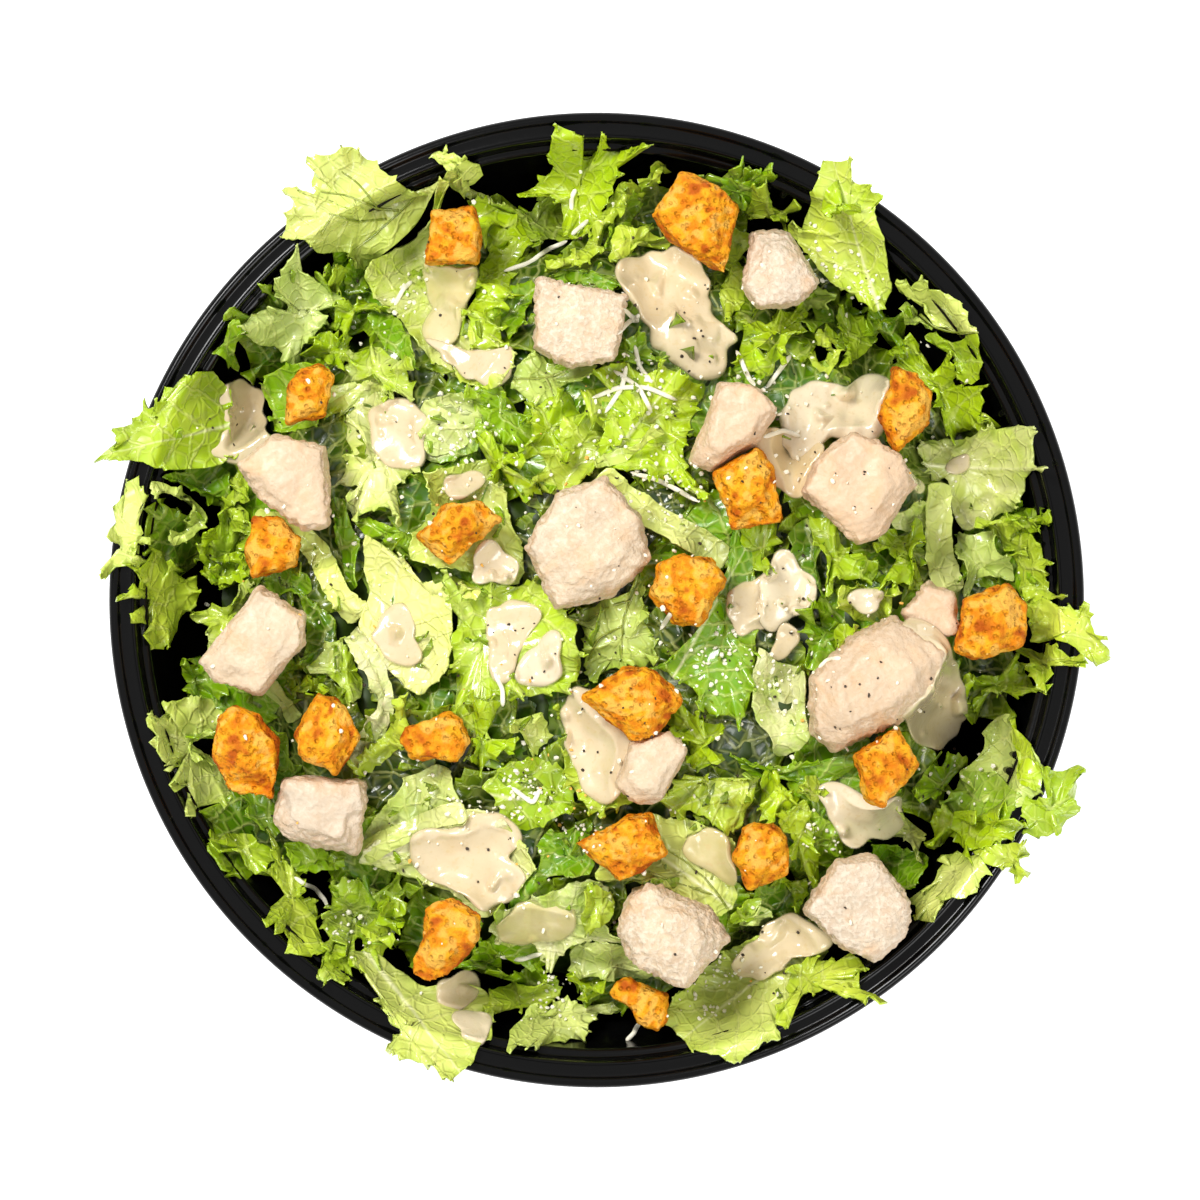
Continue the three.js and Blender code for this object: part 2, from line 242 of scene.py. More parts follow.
BAND_Z = BOWL_H - 1.2
rim_line = [
    (LEDGE_R + WALL, LEDGE_Z - WALL),
    (LIP_R + WALL, LEDGE_Z - WALL),
    (LIP_R + WALL, BAND_Z - WALL),
    (RIM_R - WALL, BAND_Z - WALL),
    (RIM_R - WALL, BOWL_H - 5.5),
    (RIM_R, BOWL_H - 5.5),
    (RIM_R, BOWL_H - 0.9),
    (RIM_R - 1.0, BOWL_H),
    (RIM_R - 2.0, BOWL_H - 0.2),
    (RIM_R - 2.6, BAND_Z),
    (LIP_R + 1.1, BAND_Z),
    (LIP_R + 0.6, BAND_Z + 0.55),
    (LIP_R + 0.1, BAND_Z),
    (LIP_R - 0.5, LEDGE_Z),
    (LEDGE_R, LEDGE_Z),
]
bowl_profile = (
    [(0, 0), (BASE_R - 0.3, 0)]
    + wall_curve(WALL)[2:-1].tolist()
    + [tuple(p) for p in rounded(rim_line, 0.5)]
    + wall_curve(0)[::-1][1:].tolist()
    + [(0, FLOOR_Z)]
)

bowl_finish = Finish("black plastic", Base_Color=srgb(7, 7, 7), Specular_IOR_Level=0.22)
grain = bowl_finish.noise(900.0, bowl_finish.places(), detail=3.0)
bowl_finish.set(Roughness=grain * 0.08 + 0.12)
bowl_points, bowl_faces = turned(bowl_profile, BOWL_TURNS)
bowl = piece("bowl_shell", bowl_points, bowl_faces, bowl_finish)
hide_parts("bowl")

RIB_ANGLES = [(pair + 0.5) * 45 + side * 2.2 for pair in range(8) for side in (-1, 0, 1)]


def stacking_ribs():
    """Upright half-round ribs on the wall: r = wall(z) - proud cos(u), swelling and fading."""
    u, v = np.meshgrid(np.linspace(-1, 1, 9), np.linspace(0, 1, 14))
    t = ((LEDGE_Z - 11 + 9.5 * v - FLOOR_Z) / (LEDGE_Z - FLOOR_Z)) ** (1 / 1.5)
    wall = BASE_R + (LEDGE_R - BASE_R) * (1 - (1 - t) ** 1.6)
    proud = 1.5 * np.sqrt(np.clip(1 - u**2, 0, 1)) * np.clip(4 * np.sin(np.pi * v), 0, 1) - 0.25
    points, faces = [], []
    for angle in np.radians(RIB_ANGLES):
        turn = angle + u * 1.1 / wall
        grid = grid_faces(*u.shape, wrap=False, start=len(points) * u.size)
        faces += [face[::-1] for face in grid]
        z = LEDGE_Z - 11 + 9.5 * v
        r = wall - proud
        points.append(np.stack([r * np.cos(turn), r * np.sin(turn), z], -1).reshape(-1, 3))
    return np.vstack(points), faces


rib_points, rib_faces = stacking_ribs()
piece("stacking_ribs", rib_points, rib_faces, bowl_finish)

# ---------------------------------------------------------------- lettuce core
# Cut romaine packed into the bowl. What lies under the top leaves is one lumpy mass in a very
# dark green that is painted shade, clear of the wall, so that the black inside shows past the
# leaf edges as air does.
HEAP_TOP, HEAP_FALL = BOWL_H + 9, 13.0


def hummocks(x, y):
    """The slow rise and fall of the heap: three crossing waves of about 1 mm."""
    return (
        1.5 * np.sin(0.105 * x + 0.4) * np.cos(0.12 * y - 0.5)
        + 1.1 * np.sin(0.19 * x - 0.16 * y + 1.3)
        + 0.7 * np.cos(0.27 * x + 0.22 * y)
    )


def dome(x, y):
    """Top of the heap: HEAP_TOP - HEAP_FALL (r / 100)^2.4, with the hummocks."""
    return HEAP_TOP - HEAP_FALL * (np.hypot(x, y) / 100) ** 2.4 + hummocks(x, y)


def step(value, low, high):
    """Smooth step: 3 t^2 - 2 t^3, with t clipped to 0..1."""
    t = np.clip((value - low) / (high - low), 0, 1)
    return t * t * (3 - 2 * t)


def ripple(x, y, wave, seed, count=7):
    """Sum of sines in random directions with wavelengths near wave, about -1 to 1."""
    dice = np.random.default_rng(seed)
    turn = dice.uniform(0, 2 * np.pi, count)
    rate = 2 * np.pi / (wave * dice.uniform(0.7, 1.4, count))
    phase = dice.uniform(0, 2 * np.pi, count)
    total = sum(
        np.sin(k * (x * np.cos(a) + y * np.sin(a)) + p) for a, k, p in zip(turn, rate, phase)
    )
    return total / math.sqrt(count)


# The core's very dark green is painted shade for the depths between the leaves.
core_finish = Finish("lettuce in painted shade", Base_Color=srgb(46, 66, 6), Roughness=0.5)
core_r = np.concatenate([[0], np.linspace(4, 88, 36), [90, 88, 80, 68, 40, 0]])
core_turn = np.linspace(0, 2 * np.pi, 160, endpoint=False)
core_x = core_r[1:-1, None] * np.cos(core_turn)
core_y = core_r[1:-1, None] * np.sin(core_turn)
core_z = dome(core_x, core_y) - 11 - 20 * step(np.hypot(core_x, core_y), 70, 92)
core_z += 1.6 * ripple(core_x, core_y, 9, 31) + 0.8 * ripple(core_x, core_y, 4, 32)
core_z[37:] = np.array([22.0, 11.0, 5.0, FLOOR_Z + 0.4])[: len(core_z) - 37, None]
core_points = np.stack([core_x, core_y, core_z], -1).reshape(-1, 3)
core_rows = len(core_z)
core_faces = [f[::-1] for f in grid_faces(core_rows, 160)]
core_points = np.vstack([core_points, [0, 0, dome(0, 0) - 11], [0, 0, FLOOR_Z + 0.4]])
around = np.arange(160)
beside = (around + 1) % 160
core_faces += np.column_stack([np.full(160, core_rows * 160), around, beside]).tolist()
under = (core_rows - 1) * 160
core_faces += np.column_stack(
    [np.full(160, core_rows * 160 + 1), under + beside, under + around]
).tolist()
piece("lettuce_core", core_points, core_faces, core_finish)

# ---------------------------------------------------------------- leaves
# Torn romaine, from crisp pale ribs to thin frilly margins, laid one over another. Each leaf
# rests on what is under it, so the leaves are listed from the lowest to the topmost.
CELL = 0.5  # spacing of the height map that the leaves are laid on
HALF = 125.0
SIDE = int(2 * HALF / CELL) + 1
map_y, map_x = np.meshgrid(*[np.linspace(-HALF, HALF, SIDE)] * 2, indexing="ij")
map_r = np.hypot(map_x, map_y)
lap = np.where(map_r > LIP_R - 1.6, BOWL_H + 0.5, 41.0)
height = np.where(map_r < 100, np.maximum(core_z.min(), dome(map_x, map_y) - 11), lap)
height = np.where(map_r < 100, height - 20 * step(map_r, 76, 94), height)
shift_x, shift_y = [np.fft.fftfreq(SIDE), np.fft.rfftfreq(SIDE)]


def softened(field, reach):
    """field blurred by a Gaussian of that reach in mm, worked out on its spectrum."""
    sigma = reach / CELL
    pull = np.exp(-2 * (np.pi * sigma) ** 2 * (shift_x[:, None] ** 2 + shift_y[None, :] ** 2))
    return np.fft.irfft2(np.fft.rfft2(field) * pull, s=field.shape)


def sampled(field, x, y):
    """field at points in mm, bilinear between the map's cells."""
    u = np.clip((np.asarray(x) + HALF) / CELL, 0, SIDE - 1.001)
    v = np.clip((np.asarray(y) + HALF) / CELL, 0, SIDE - 1.001)
    i, j = v.astype(int), u.astype(int)
    a, b = v - i, u - j
    low = field[i, j] * (1 - b) + field[i, j + 1] * b
    high = field[i + 1, j] * (1 - b) + field[i + 1, j + 1] * b
    return low * (1 - a) + high * a


def raise_map(x, y, z):
    """Lifts the height map to the points (x, y, z), with holes between them filled."""
    top = np.full((SIDE + 2, SIDE + 2), -np.inf)
    j = np.clip(np.rint((x + HALF) / CELL).astype(int), 0, SIDE - 1) + 1
    i = np.clip(np.rint((y + HALF) / CELL).astype(int), 0, SIDE - 1) + 1
    np.maximum.at(top, (i.ravel(), j.ravel()), z.ravel())
    near = [top[1 + a : SIDE + 1 + a, 1 + b : SIDE + 1 + b] for a in (-1, 0, 1) for b in (-1, 0, 1)]
    inner = top[1:-1, 1:-1]
    filled = np.where(np.isfinite(inner), inner, np.maximum.reduce(near))
    np.maximum(height, filled, out=height)


# Where a chunk lies, a leaf that goes under it keeps below its top
chunk_top = np.full((SIDE, SIDE), 999.0)
CHUNK_NODES = [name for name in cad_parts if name.startswith(("chicken_", "crouton_"))]
for name in CHUNK_NODES:
    low, high = [np.array(corner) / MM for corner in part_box(name)]
    middle, reach = (low + high) / 2, (high - low) / 2
    across = np.abs(map_x - middle[0]) / reach[0]
    along = np.abs(map_y - middle[1]) / reach[1]
    inside = across**3 + along**3 < 0.62
    chunk_top[inside] = np.minimum(chunk_top[inside], high[2] - 5.0)


def closed_curve(rows, gap):
    """Catmull-Rom curve round the rows of (x, y) or (x, y, frill), at even steps of gap mm."""
    p = np.array([row if len(row) == 3 else (*row, 1.0) for row in rows], dtype=float)
    area = np.sum(p[:, 0] * np.roll(p[:, 1], -1) - p[:, 1] * np.roll(p[:, 0], -1))
    p = p if area > 0 else p[::-1]
    before, after, far = np.roll(p, 1, 0), np.roll(p, -1, 0), np.roll(p, -2, 0)
    t = np.linspace(0, 1, 24, endpoint=False)[None, :, None]
    a = 2 * p[:, None]
    b = (after - before)[:, None] * t
    c = (2 * before - 5 * p + 4 * after - far)[:, None] * t**2
    d = (3 * p - before - 3 * after + far)[:, None] * t**3
    fine = (0.5 * (a + b + c + d)).reshape(-1, 3)
    ring = np.vstack([fine, fine[:1]])
    length = np.concatenate([[0], np.cumsum(np.hypot(*np.diff(ring[:, :2], axis=0).T))])
    count = max(24, int(length[-1] / gap))
    want = np.linspace(0, length[-1], count, endpoint=False)
    return np.column_stack([np.interp(want, length, ring[:, k]) for k in range(3)]), length[-1]


def ruffle(turn, waves, dice):
    """Two waves a quarter apart, each the sum of sines round a ring with about waves crests."""
    rates = np.arange(max(1, int(waves * 0.6)), max(3, int(waves * 1.55)) + 1)
    size = dice.normal(0, 1, len(rates))
    phase = dice.uniform(0, 2 * np.pi, len(rates))
    size *= math.sqrt(2) / max(1e-6, np.linalg.norm(size))
    angle = np.outer(turn, rates) + phase
    return np.sin(angle) @ size, np.cos(angle) @ size


leaf_finish = Finish("romaine leaf", Roughness=0.3, Coat_Weight=0.7, Coat_Roughness=0.12)
tint = leaf_finish.channel("tint", out=0)
edge_share = leaf_finish.channel("edge")
milk_share = leaf_finish.channel("milk")
rib_half = leaf_finish.channel("rib_half")
leaf_place = leaf_finish.node("ShaderNodeUVMap", {"uv_map": "leaf"})
split_place = leaf_finish.node("ShaderNodeSeparateXYZ", {}, leaf_place)
along_rib = Value(leaf_finish, split_place.socket.node.outputs[0])
off_rib = abs(Value(leaf_finish, split_place.socket.node.outputs[1]))
body = leaf_finish.places()
drift = leaf_finish.noise(90.0, body, detail=3.0)
side_phase = (along_rib - off_rib * 0.8) / 0.72 + drift * 1.3
side_vein = 1 - abs(side_phase.math("FRACT") - 0.5).ramp(0.02, 0.1)
cells = leaf_finish.node(
    "ShaderNodeTexVoronoi", {"feature": "DISTANCE_TO_EDGE"}, Vector=body, Scale=270.0
)
fine_vein = 1 - cells.ramp(0.01, 0.16)
rib_mask = ((rib_half - off_rib) * 16).math("MINIMUM", 1).math("MAXIMUM", 0)
blotch = leaf_finish.noise(38.0, body, detail=4.0).ramp(0.34, 0.68)
deeper = leaf_finish.mix(1.0, tint, (0.82, 0.92, 0.6), "MULTIPLY")
leaf_color = leaf_finish.mix(blotch, deeper, tint)
leaf_color = leaf_finish.mix(fine_vein * 0.18, leaf_color, srgb(226, 232, 120))
leaf_color = leaf_finish.mix(side_vein * 0.3, leaf_color, srgb(236, 238, 150))
leaf_color = leaf_finish.mix(edge_share * 0.6, leaf_color, srgb(168, 200, 12))
leaf_color = leaf_finish.mix(rib_mask * 0.9, leaf_color, srgb(238, 238, 184))
film = leaf_finish.noise(130.0, body, detail=5.0, rough=0.65).ramp(0.38, 0.62) * milk_share
leaf_color = leaf_finish.mix(film, leaf_color, srgb(240, 228, 190))
leaf_finish.set(Base_Color=leaf_color)
leaf_finish.bump(side_vein * 0.4 + fine_vein * 0.4 + drift * 0.8 + film * 0.6, 0.7, 0.0008)

patch = {"points": [], "faces": [], "tint": [], "edge": [], "milk": [], "rib_half": [], "uv": []}
leaf_count = 0


def join_patch(x, y, z, faces, tint, edge=0.0, milk=0.0, rib_half=-1.0, uv=0.0):
    """Adds a finished grid, and what its colour is worked out from, to the leaves so far."""
    start = sum(len(part) for part in patch["points"])
    patch["points"].append(np.stack([x, y, z], -1).reshape(-1, 3))
    patch["faces"] += [[start + k for k in face] for face in faces]
    patch["tint"].append(np.broadcast_to(tint, (*x.shape, 3)).reshape(-1, 3))
    patch["edge"].append(np.broadcast_to(edge, x.shape).ravel())
    patch["milk"].append(np.full(x.size, milk))
    patch["rib_half"].append(np.broadcast_to(rib_half, x.shape).ravel())
    patch["uv"].append(np.broadcast_to(uv, (*x.shape, 2)).reshape(-1, 2))
    if len(patch["faces"]) > 44000:
        end_patch()


def lay_sheet(x, y, depth, inner, ring, slant, faces, tint, seed, **shape):
    """Shapes a flat grid as a leaf and rests it on the height map.

    x, y is the grid, depth each point's distance in from the edge, slant its place round the
    edge and inner fades the margin's shape out towards the middle. The margin rises and falls
    as a sum of ruffles that fade inwards by exp(-depth / k), and it meanders along and across
    the edge in step with them. Teeth stand out from it as (1 - |sin|)^1.5. The tint is painted
    lighter on crests and darker in hollows: painted light and shade for the relief.
    """
    dice = np.random.default_rng(seed)
    points, length = ring
    count = len(points)
    turn = 2 * np.pi * np.arange(count) / count
    tangent = np.roll(points[:, :2], -1, 0) - np.roll(points[:, :2], 1, 0)
    tangent /= np.maximum(1e-6, np.hypot(*tangent.T))[:, None]
    outward = np.column_stack([tangent[:, 1], -tangent[:, 0]])
    frill = shape.get("frill", 0.5) * points[:, 2]
    slow = ruffle(turn, 3, dice)[0]
    lap_z, lap_t, lap_n = 0, 0, 0
    for wave, tall, sway, fade in ((12.0, 3.0, 2.0, 4.0), (5.8, 1.7, 1.3, 2.4), (2.8, 0.6, 0.5, 1.2)):
        rise, quarter = ruffle(turn, length / wave, dice)
        gone = np.exp(-depth / fade) * inner
        lap_z = lap_z + tall * (frill * rise)[slant] * gone
        lap_t = lap_t + sway * (frill * quarter)[slant] * gone
        lap_n = lap_n + 0.35 * sway * (frill * rise)[slant] * gone
    phase = np.pi * length / 4.0 * turn / (2 * np.pi) + 1.4 * ruffle(turn, length / 9, dice)[0]
    teeth = (1 - np.abs(np.sin(phase))) ** 1.5 * (0.5 + np.clip(ruffle(turn, length / 7, dice)[0], 0, 1))
    lap_n = lap_n + shape.get("teeth", 2.2) * (frill * teeth)[slant] * np.exp(-depth / 1.6) * inner
    curl = shape.get("curl", 2.2) * (0.8 + 0.6 * slow)[slant]
    lap_n = lap_n - 0.35 * np.abs(curl) * np.exp(-depth / 3.0) * inner
    x = x + lap_t * tangent[slant, 0] + lap_n * outward[slant, 0]
    y = y + lap_t * tangent[slant, 1] + lap_n * outward[slant, 1]
    z = lap_z + curl * np.exp(-depth / 6.0) * inner
    middle = points[:, :2].mean(0)
    span = np.hypot(*(points[:, :2] - middle).T).mean()
    z = z + shape.get("wave", 1.6) * ripple(x, y, max(14, 1.5 * span), seed + 1)
    z = z + shape.get("blister", 0.32) * ripple(x, y, 5.0, seed + 2)
    gx, gy = shape.get("tilt", dice.normal(0, 0.09, 2))
    z = z + gx * (x - middle[0]) + gy * (y - middle[1])
    x0, y0, x1, y1 = shape.get("rib", (*middle, middle[0] + dice.normal(), middle[1] + 1.0))
    reach = math.hypot(x1 - x0, y1 - y0)
    u = ((x - x0) * (x1 - x0) + (y - y0) * (y1 - y0)) / reach
    v = ((y - y0) * (x1 - x0) - (x - x0) * (y1 - y0)) / reach
    wide = shape.get("rib_wide", 0.0)
    half = np.where(wide > 0, 0.5 * wide * (1 - 0.6 * np.clip(u / reach, 0, 1)), -10.0)
    z = z + shape.get("fold", 0.0) * (np.sqrt(v**2 + 4) - 2)
    z = z + (0.5 * np.exp(-((v / np.maximum(half, 0.6)) ** 2)) * math.sqrt(wide) if wide else 0)
    ground = sampled(softened(height, shape.get("stiff", 5.0)), x, y)
    z = z + ground + shape.get("lift", 1.2)
    floor = sampled(softened(height, 1.0), x, y) + 0.2
    z = np.maximum(z, floor) + 0.25 * np.exp(-np.abs(z - floor))
    if not shape.get("over"):
        z = np.minimum(z, sampled(chunk_top, x, y))
    raise_map(x, y, z)
    edge = np.exp(-depth / 2.6) * np.clip(1.6 * frill, 0, 1)[slant]
    milk = shape.get("milk", 0.0)
    # Painted light and shade: the tint is lightened where the leaf rises above what it rests on and darkened
    # where it dips below it.
    light = 0.7 + 0.46 * step(z - ground - shape.get("lift", 1.2), -2.2, 2.6)[..., None]
    join_patch(x, y, z, faces, light * tint, edge, milk, half / 10, np.stack([u, v], -1) / 10)


def end_patch():
    """Makes one piece of the leaves laid since the last, with a leaf's real thickness."""
    global patch, leaf_count
    if not patch["points"]:
        return
    joined = {key: np.concatenate(patch[key]) for key in patch if key != "faces"}
    leaf_count += 1
    made = piece(
        f"leaves_{leaf_count}",
        joined["points"],
        patch["faces"],
        leaf_finish,
        channels={key: joined[key] for key in ("tint", "edge", "milk", "rib_half")},
        uv=joined["uv"],
    )
    thick = made.modifiers.new("leaf thickness", "SOLIDIFY")
    thick.thickness = 0.4 * MM
    thick.offset = 1.0
    patch = {key: [] for key in patch}


RINGS = 13
seeds = iter(range(100, 100000, 10))


def leaf(tint, outline, **shape):
    """A leaf inside an outline: rings drawn in to its middle, closer together at the edge."""
    gap = shape.get("gap", 0.8 if shape.get("frill", 0.5) > 0.2 else 1.3)
    ring = closed_curve(outline, gap)
    edge = ring[0]
    count = len(edge)
    seed = next(seeds)
    middle = edge[:, :2].mean(0)
    shift = 0.22 * np.hypot(*(edge[:, :2] - middle).T).mean()
    middle = np.array(shape.get("hub", middle + np.random.default_rng(seed).normal(0, shift, 2)))
    rho = 1 - (1 - np.arange(1, RINGS + 1) / RINGS) ** 1.6
    x = middle[0] + rho[:, None] * (edge[:, 0] - middle[0])
    y = middle[1] + rho[:, None] * (edge[:, 1] - middle[1])
    depth = (1 - rho[:, None]) * np.hypot(edge[:, 0] - middle[0], edge[:, 1] - middle[1])
    slant = np.tile(np.arange(count), (RINGS, 1))
    faces = [face[::-1] for face in grid_faces(RINGS, count)]
    ends = np.arange(count)
    faces += np.column_stack([ends * 0, ends, (ends + 1) % count]).tolist()[1:-1]
    inner = step(rho, 0.05, 0.7)[:, None]
    lay_sheet(x, y, depth, inner, ring, slant, faces, tint, seed, **shape)


def ribbon(tint, path, width, **shape):
    """A narrow curled leaf: a Catmull-Rom path with a strip of that width across it."""
    path = np.array(path, dtype=float)
    ends = np.vstack([2 * path[0] - path[1], path, 2 * path[-1] - path[-2]])
    t = np.linspace(0, 1, 16, endpoint=False)[:, None]
    fine = []
    for a, b, c, d in zip(ends, ends[1:], ends[2:], ends[3:]):
        cubic = (3 * b - a - 3 * c + d) * t**3
        fine.append(0.5 * (2 * b + (c - a) * t + (2 * a - 5 * b + 4 * c - d) * t**2 + cubic))
    fine = np.vstack([*fine, path[-1:]])
    length = np.concatenate([[0], np.cumsum(np.hypot(*np.diff(fine, axis=0).T))])
    rows = max(12, int(length[-1] / 0.7))
    want = np.linspace(0, length[-1], rows)
    line = np.column_stack([np.interp(want, length, fine[:, k]) for k in (0, 1)])
    run = np.gradient(line, axis=0)
    run /= np.hypot(*run.T)[:, None]
    side = np.column_stack([-run[:, 1], run[:, 0]])
    taper = np.clip(6 * np.sin(np.pi * np.linspace(0.02, 0.98, rows)), 0, 1)
    half = 0.5 * width * (0.35 + 0.65 * taper)
    across = np.sin(np.linspace(-np.pi / 2, np.pi / 2, 15))
    x = line[:, :1] + half[:, None] * across * side[:, :1]
    y = line[:, 1:] + half[:, None] * across * side[:, 1:]
    depth = half[:, None] * (1 - np.abs(across))
    right, left = line - half[:, None] * side, line + half[:, None] * side
    ring = np.column_stack([np.vstack([right, left[::-1]]), np.ones(2 * rows)])
    i = np.arange(rows)[:, None]
    slant = np.where(across[None, :] < 0, i, 2 * rows - 1 - i)
    trough = shape.pop("trough", 1.0)
    faces = [face[::-1] for face in grid_faces(rows, len(across), wrap=False)]
    shape.setdefault("curl", trough)
    lay_sheet(x, y, depth, 1.0, (ring, 2 * length[-1]), slant, faces, tint, next(seeds), **shape)


def vein(path, wide=0.4):
    """A dark vein: a strip about 0.4 mm wide that lies on the leaf laid last."""
    path = np.array(path, dtype=float)
    t = np.linspace(0, len(path) - 1, 14 * (len(path) - 1))
    line = np.column_stack([np.interp(t, np.arange(len(path)), path[:, k]) for k in (0, 1)])
    for _ in range(12):
        line[1:-1] = (line[:-2] + 2 * line[1:-1] + line[2:]) / 4
    run = np.gradient(line, axis=0)
    run /= np.hypot(*run.T)[:, None]
    across = np.array([-0.5, 0.0, 0.5]) * wide * np.linspace(1, 0.4, len(line))[:, None]
    x = line[:, :1] - across * run[:, 1:]
    y = line[:, 1:] + across * run[:, :1]
    z = sampled(softened(height, 0.6), x, y) + 0.12 - 0.1 * np.abs(across) / wide
    faces = [face[::-1] for face in grid_faces(len(line), 3, wrap=False)]
    join_patch(x, y, z, faces, VEIN)


def patch_of_leaf(dice, reach, tint, x, y, **shape):
    """A torn leaf of no special outline: eight points round a ring of uneven radius."""
    turn = np.linspace(0, 2 * np.pi, 9)[:8] + dice.uniform(0, 2 * np.pi)
    r = reach * dice.uniform(0.7, 1.25, 8)
    squash = dice.uniform(0.6, 1.0)
    spin = dice.uniform(0, np.pi)
    px, py = r * np.cos(turn), squash * r * np.sin(turn)
    outline = np.column_stack(
        [x + px * math.cos(spin) - py * math.sin(spin), y + px * math.sin(spin) + py * math.cos(spin)]
    )
    leaf(tint, [tuple(p) for p in outline], **shape)


# Leaf tints. The two darkest greens are painted shade, for leaves that lie in shadow under and between the
# top ones.
PALE, CREAM, YELLOW = srgb(214, 220, 124), srgb(234, 236, 156), srgb(247, 247, 156)
LIME, BRIGHT, FRESH = srgb(200, 214, 72), srgb(184, 208, 26), srgb(168, 194, 36)
MID, GREEN, SHADE_GREEN = srgb(144, 182, 22), srgb(112, 158, 8), srgb(70, 112, 4)
SHADE_DARK, MILKY, GREY = srgb(38, 64, 4), srgb(218, 224, 158), srgb(196, 210, 116)
VEIN = srgb(142, 152, 52)

# Loose leaves fill the bowl under the ones on top, most of them tinted very dark green as painted shade
fill_dice = np.random.default_rng(5)
for k in range(70):
    far = 93 * math.sqrt((k + 0.5) / 70)
    way = k * 2.39996
    tint = [SHADE_DARK, SHADE_DARK, SHADE_GREEN, SHADE_DARK, GREEN][k % 5]
    place = (far * math.cos(way), far * math.sin(way))
    patch_of_leaf(fill_dice, fill_dice.uniform(12, 18), tint, *place, frill=0.8, gap=1.7, stiff=7)

# Back left: a broad veined leaf over the rim, a pale folded one, frills round a crouton
leaf(SHADE_GREEN, [(-80, 52), (-86, 66), (-70, 78), (-62, 66), (-66, 54)], frill=0.9)
leaf(SHADE_GREEN, [(-59.5, 79), (-57, 81), (-54.5, 80), (-54.5, 75), (-55.5, 72), (-58.5, 70.8), (-60, 73.5)])
leaf(
    PALE,
    [(-58, 107.2), (-55, 105), (-52.5, 103.5), (-49, 100.5), (-45.5, 98), (-42, 96.5), (-36, 99, 0),
     (-42, 90, 0), (-50, 83, 0), (-57.5, 78.5), (-58.5, 82), (-62, 82), (-66, 81.7), (-67, 83.2),
     (-71, 84.2), (-75, 85), (-74, 87.5), (-73.5, 90.5), (-71.8, 92.5), (-72, 94.5), (-73.7, 95.6),
     (-72, 97), (-70, 96), (-66.5, 96), (-67.5, 98.3), (-66.8, 101), (-68.3, 103.3), (-66.5, 104.8),
     (-61.5, 106)],
    frill=0.4, lift=3.0, curl=1.6, stiff=9, rib=(-40, 96, -64, 88), fold=-0.1, wave=2.0, blister=0.5,
)
vein([(-42.5, 96), (-48, 91), (-53, 86.5), (-58, 83)])
vein([(-47, 92.5), (-53, 93), (-59.5, 95.5), (-65, 96)])
vein([(-50, 90.5), (-57, 89.5), (-63, 91)])
vein([(-62, 91), (-65, 86)])
vein([(-52, 93), (-56, 98), (-60, 101)])
leaf(LIME, [(-66, 78), (-64, 76.5), (-62.5, 78.5), (-60.7, 78.5), (-59.8, 76.5), (-61.5, 74), (-61, 70.5),
            (-63, 70), (-65.5, 75.5)], frill=0.6)
leaf(
    MILKY,
    [(-71.3, 84), (-70, 83), (-70.2, 80.5), (-69, 78), (-65.5, 75.5), (-62, 73.5), (-61, 71.5),
     (-65, 69), (-63.2, 67.5), (-64, 65), (-66.5, 62.5), (-69.5, 60), (-71.5, 56), (-73, 56),
     (-76.5, 60.2), (-80, 60.2), (-82.5, 61.5), (-84, 65.5), (-80, 69), (-77, 68), (-74.5, 67.8),
     (-74, 71.5), (-77, 73.3), (-75.2, 77), (-72.8, 81.5)],
    frill=0.4, lift=2.5, curl=1.6, hub=(-69.5, 68), blister=0.5,
)
leaf(MID, [(-80, 54), (-78.5, 55.5), (-73, 57.3), (-69, 57.5), (-62, 55.2), (-64, 46), (-68, 40),
           (-73.5, 39.5),
           (-76.5, 39), (-79, 43), (-80.5, 47)], frill=0.4, curl=3.5, gap=1.0, lift=0.5)
leaf(GREEN, [(-87, 65.3), (-85, 65), (-84.3, 62.5), (-85.7, 60), (-84.5, 58), (-84, 55), (-87, 55.5),
             (-91, 59.3), (-89, 62)], frill=0.5)
leaf(GREEN, [(-55, 68.5), (-51, 69.3), (-46.5, 66), (-44, 62), (-42, 58), (-42, 53), (-45, 56),
             (-48.5, 59), (-51.5, 60.5), (-54, 64)], frill=0.3)
leaf(BRIGHT, [(-69.5, 59), (-66, 63), (-63.5, 65), (-60.5, 62.2), (-58.5, 63), (-57.2, 60), (-59, 55.5),
              (-61.5, 55.3), (-63, 56.5), (-67, 57.8)], frill=0.7)
leaf(BRIGHT, [(-60, 72.3), (-58.5, 70.5), (-56.5, 70.5), (-55, 72), (-53, 70.5), (-50.5, 69.5), (-56, 68),
              (-58.5, 66), (-60.5, 62.5), (-63.2, 65), (-62.8, 68.5)], frill=0.7, lift=2.0)
leaf(BRIGHT, [(-58, 59), (-50, 59), (-45, 56), (-43, 50), (-43, 47), (-49, 48), (-50.5, 46), (-53.5, 45),
              (-57, 45.5), (-61, 44), (-64, 43.5), (-65.5, 48), (-60.5, 51.5), (-62.8, 54), (-60, 56.5)],
     frill=0.8, hub=(-52, 53), milk=0.3)
leaf(
    LIME,
    [(-35.5, 100, 0), (-42, 89, 0.4), (-50, 83, 0.3), (-54, 79.5), (-54.3, 74), (-51, 70), (-46, 66),
     (-42, 59), (-35, 53), (-27, 48.5), (-21, 51), (-18.5, 57.5), (-24, 61), (-30, 66), (-29, 78),
     (-38, 80), (-40, 85)],
    frill=0.35, lift=2.0, curl=2.2, hub=(-42, 74), wave=2.4, milk=0.35, rib=(-36, 98, -42, 62), fold=0.15,
)

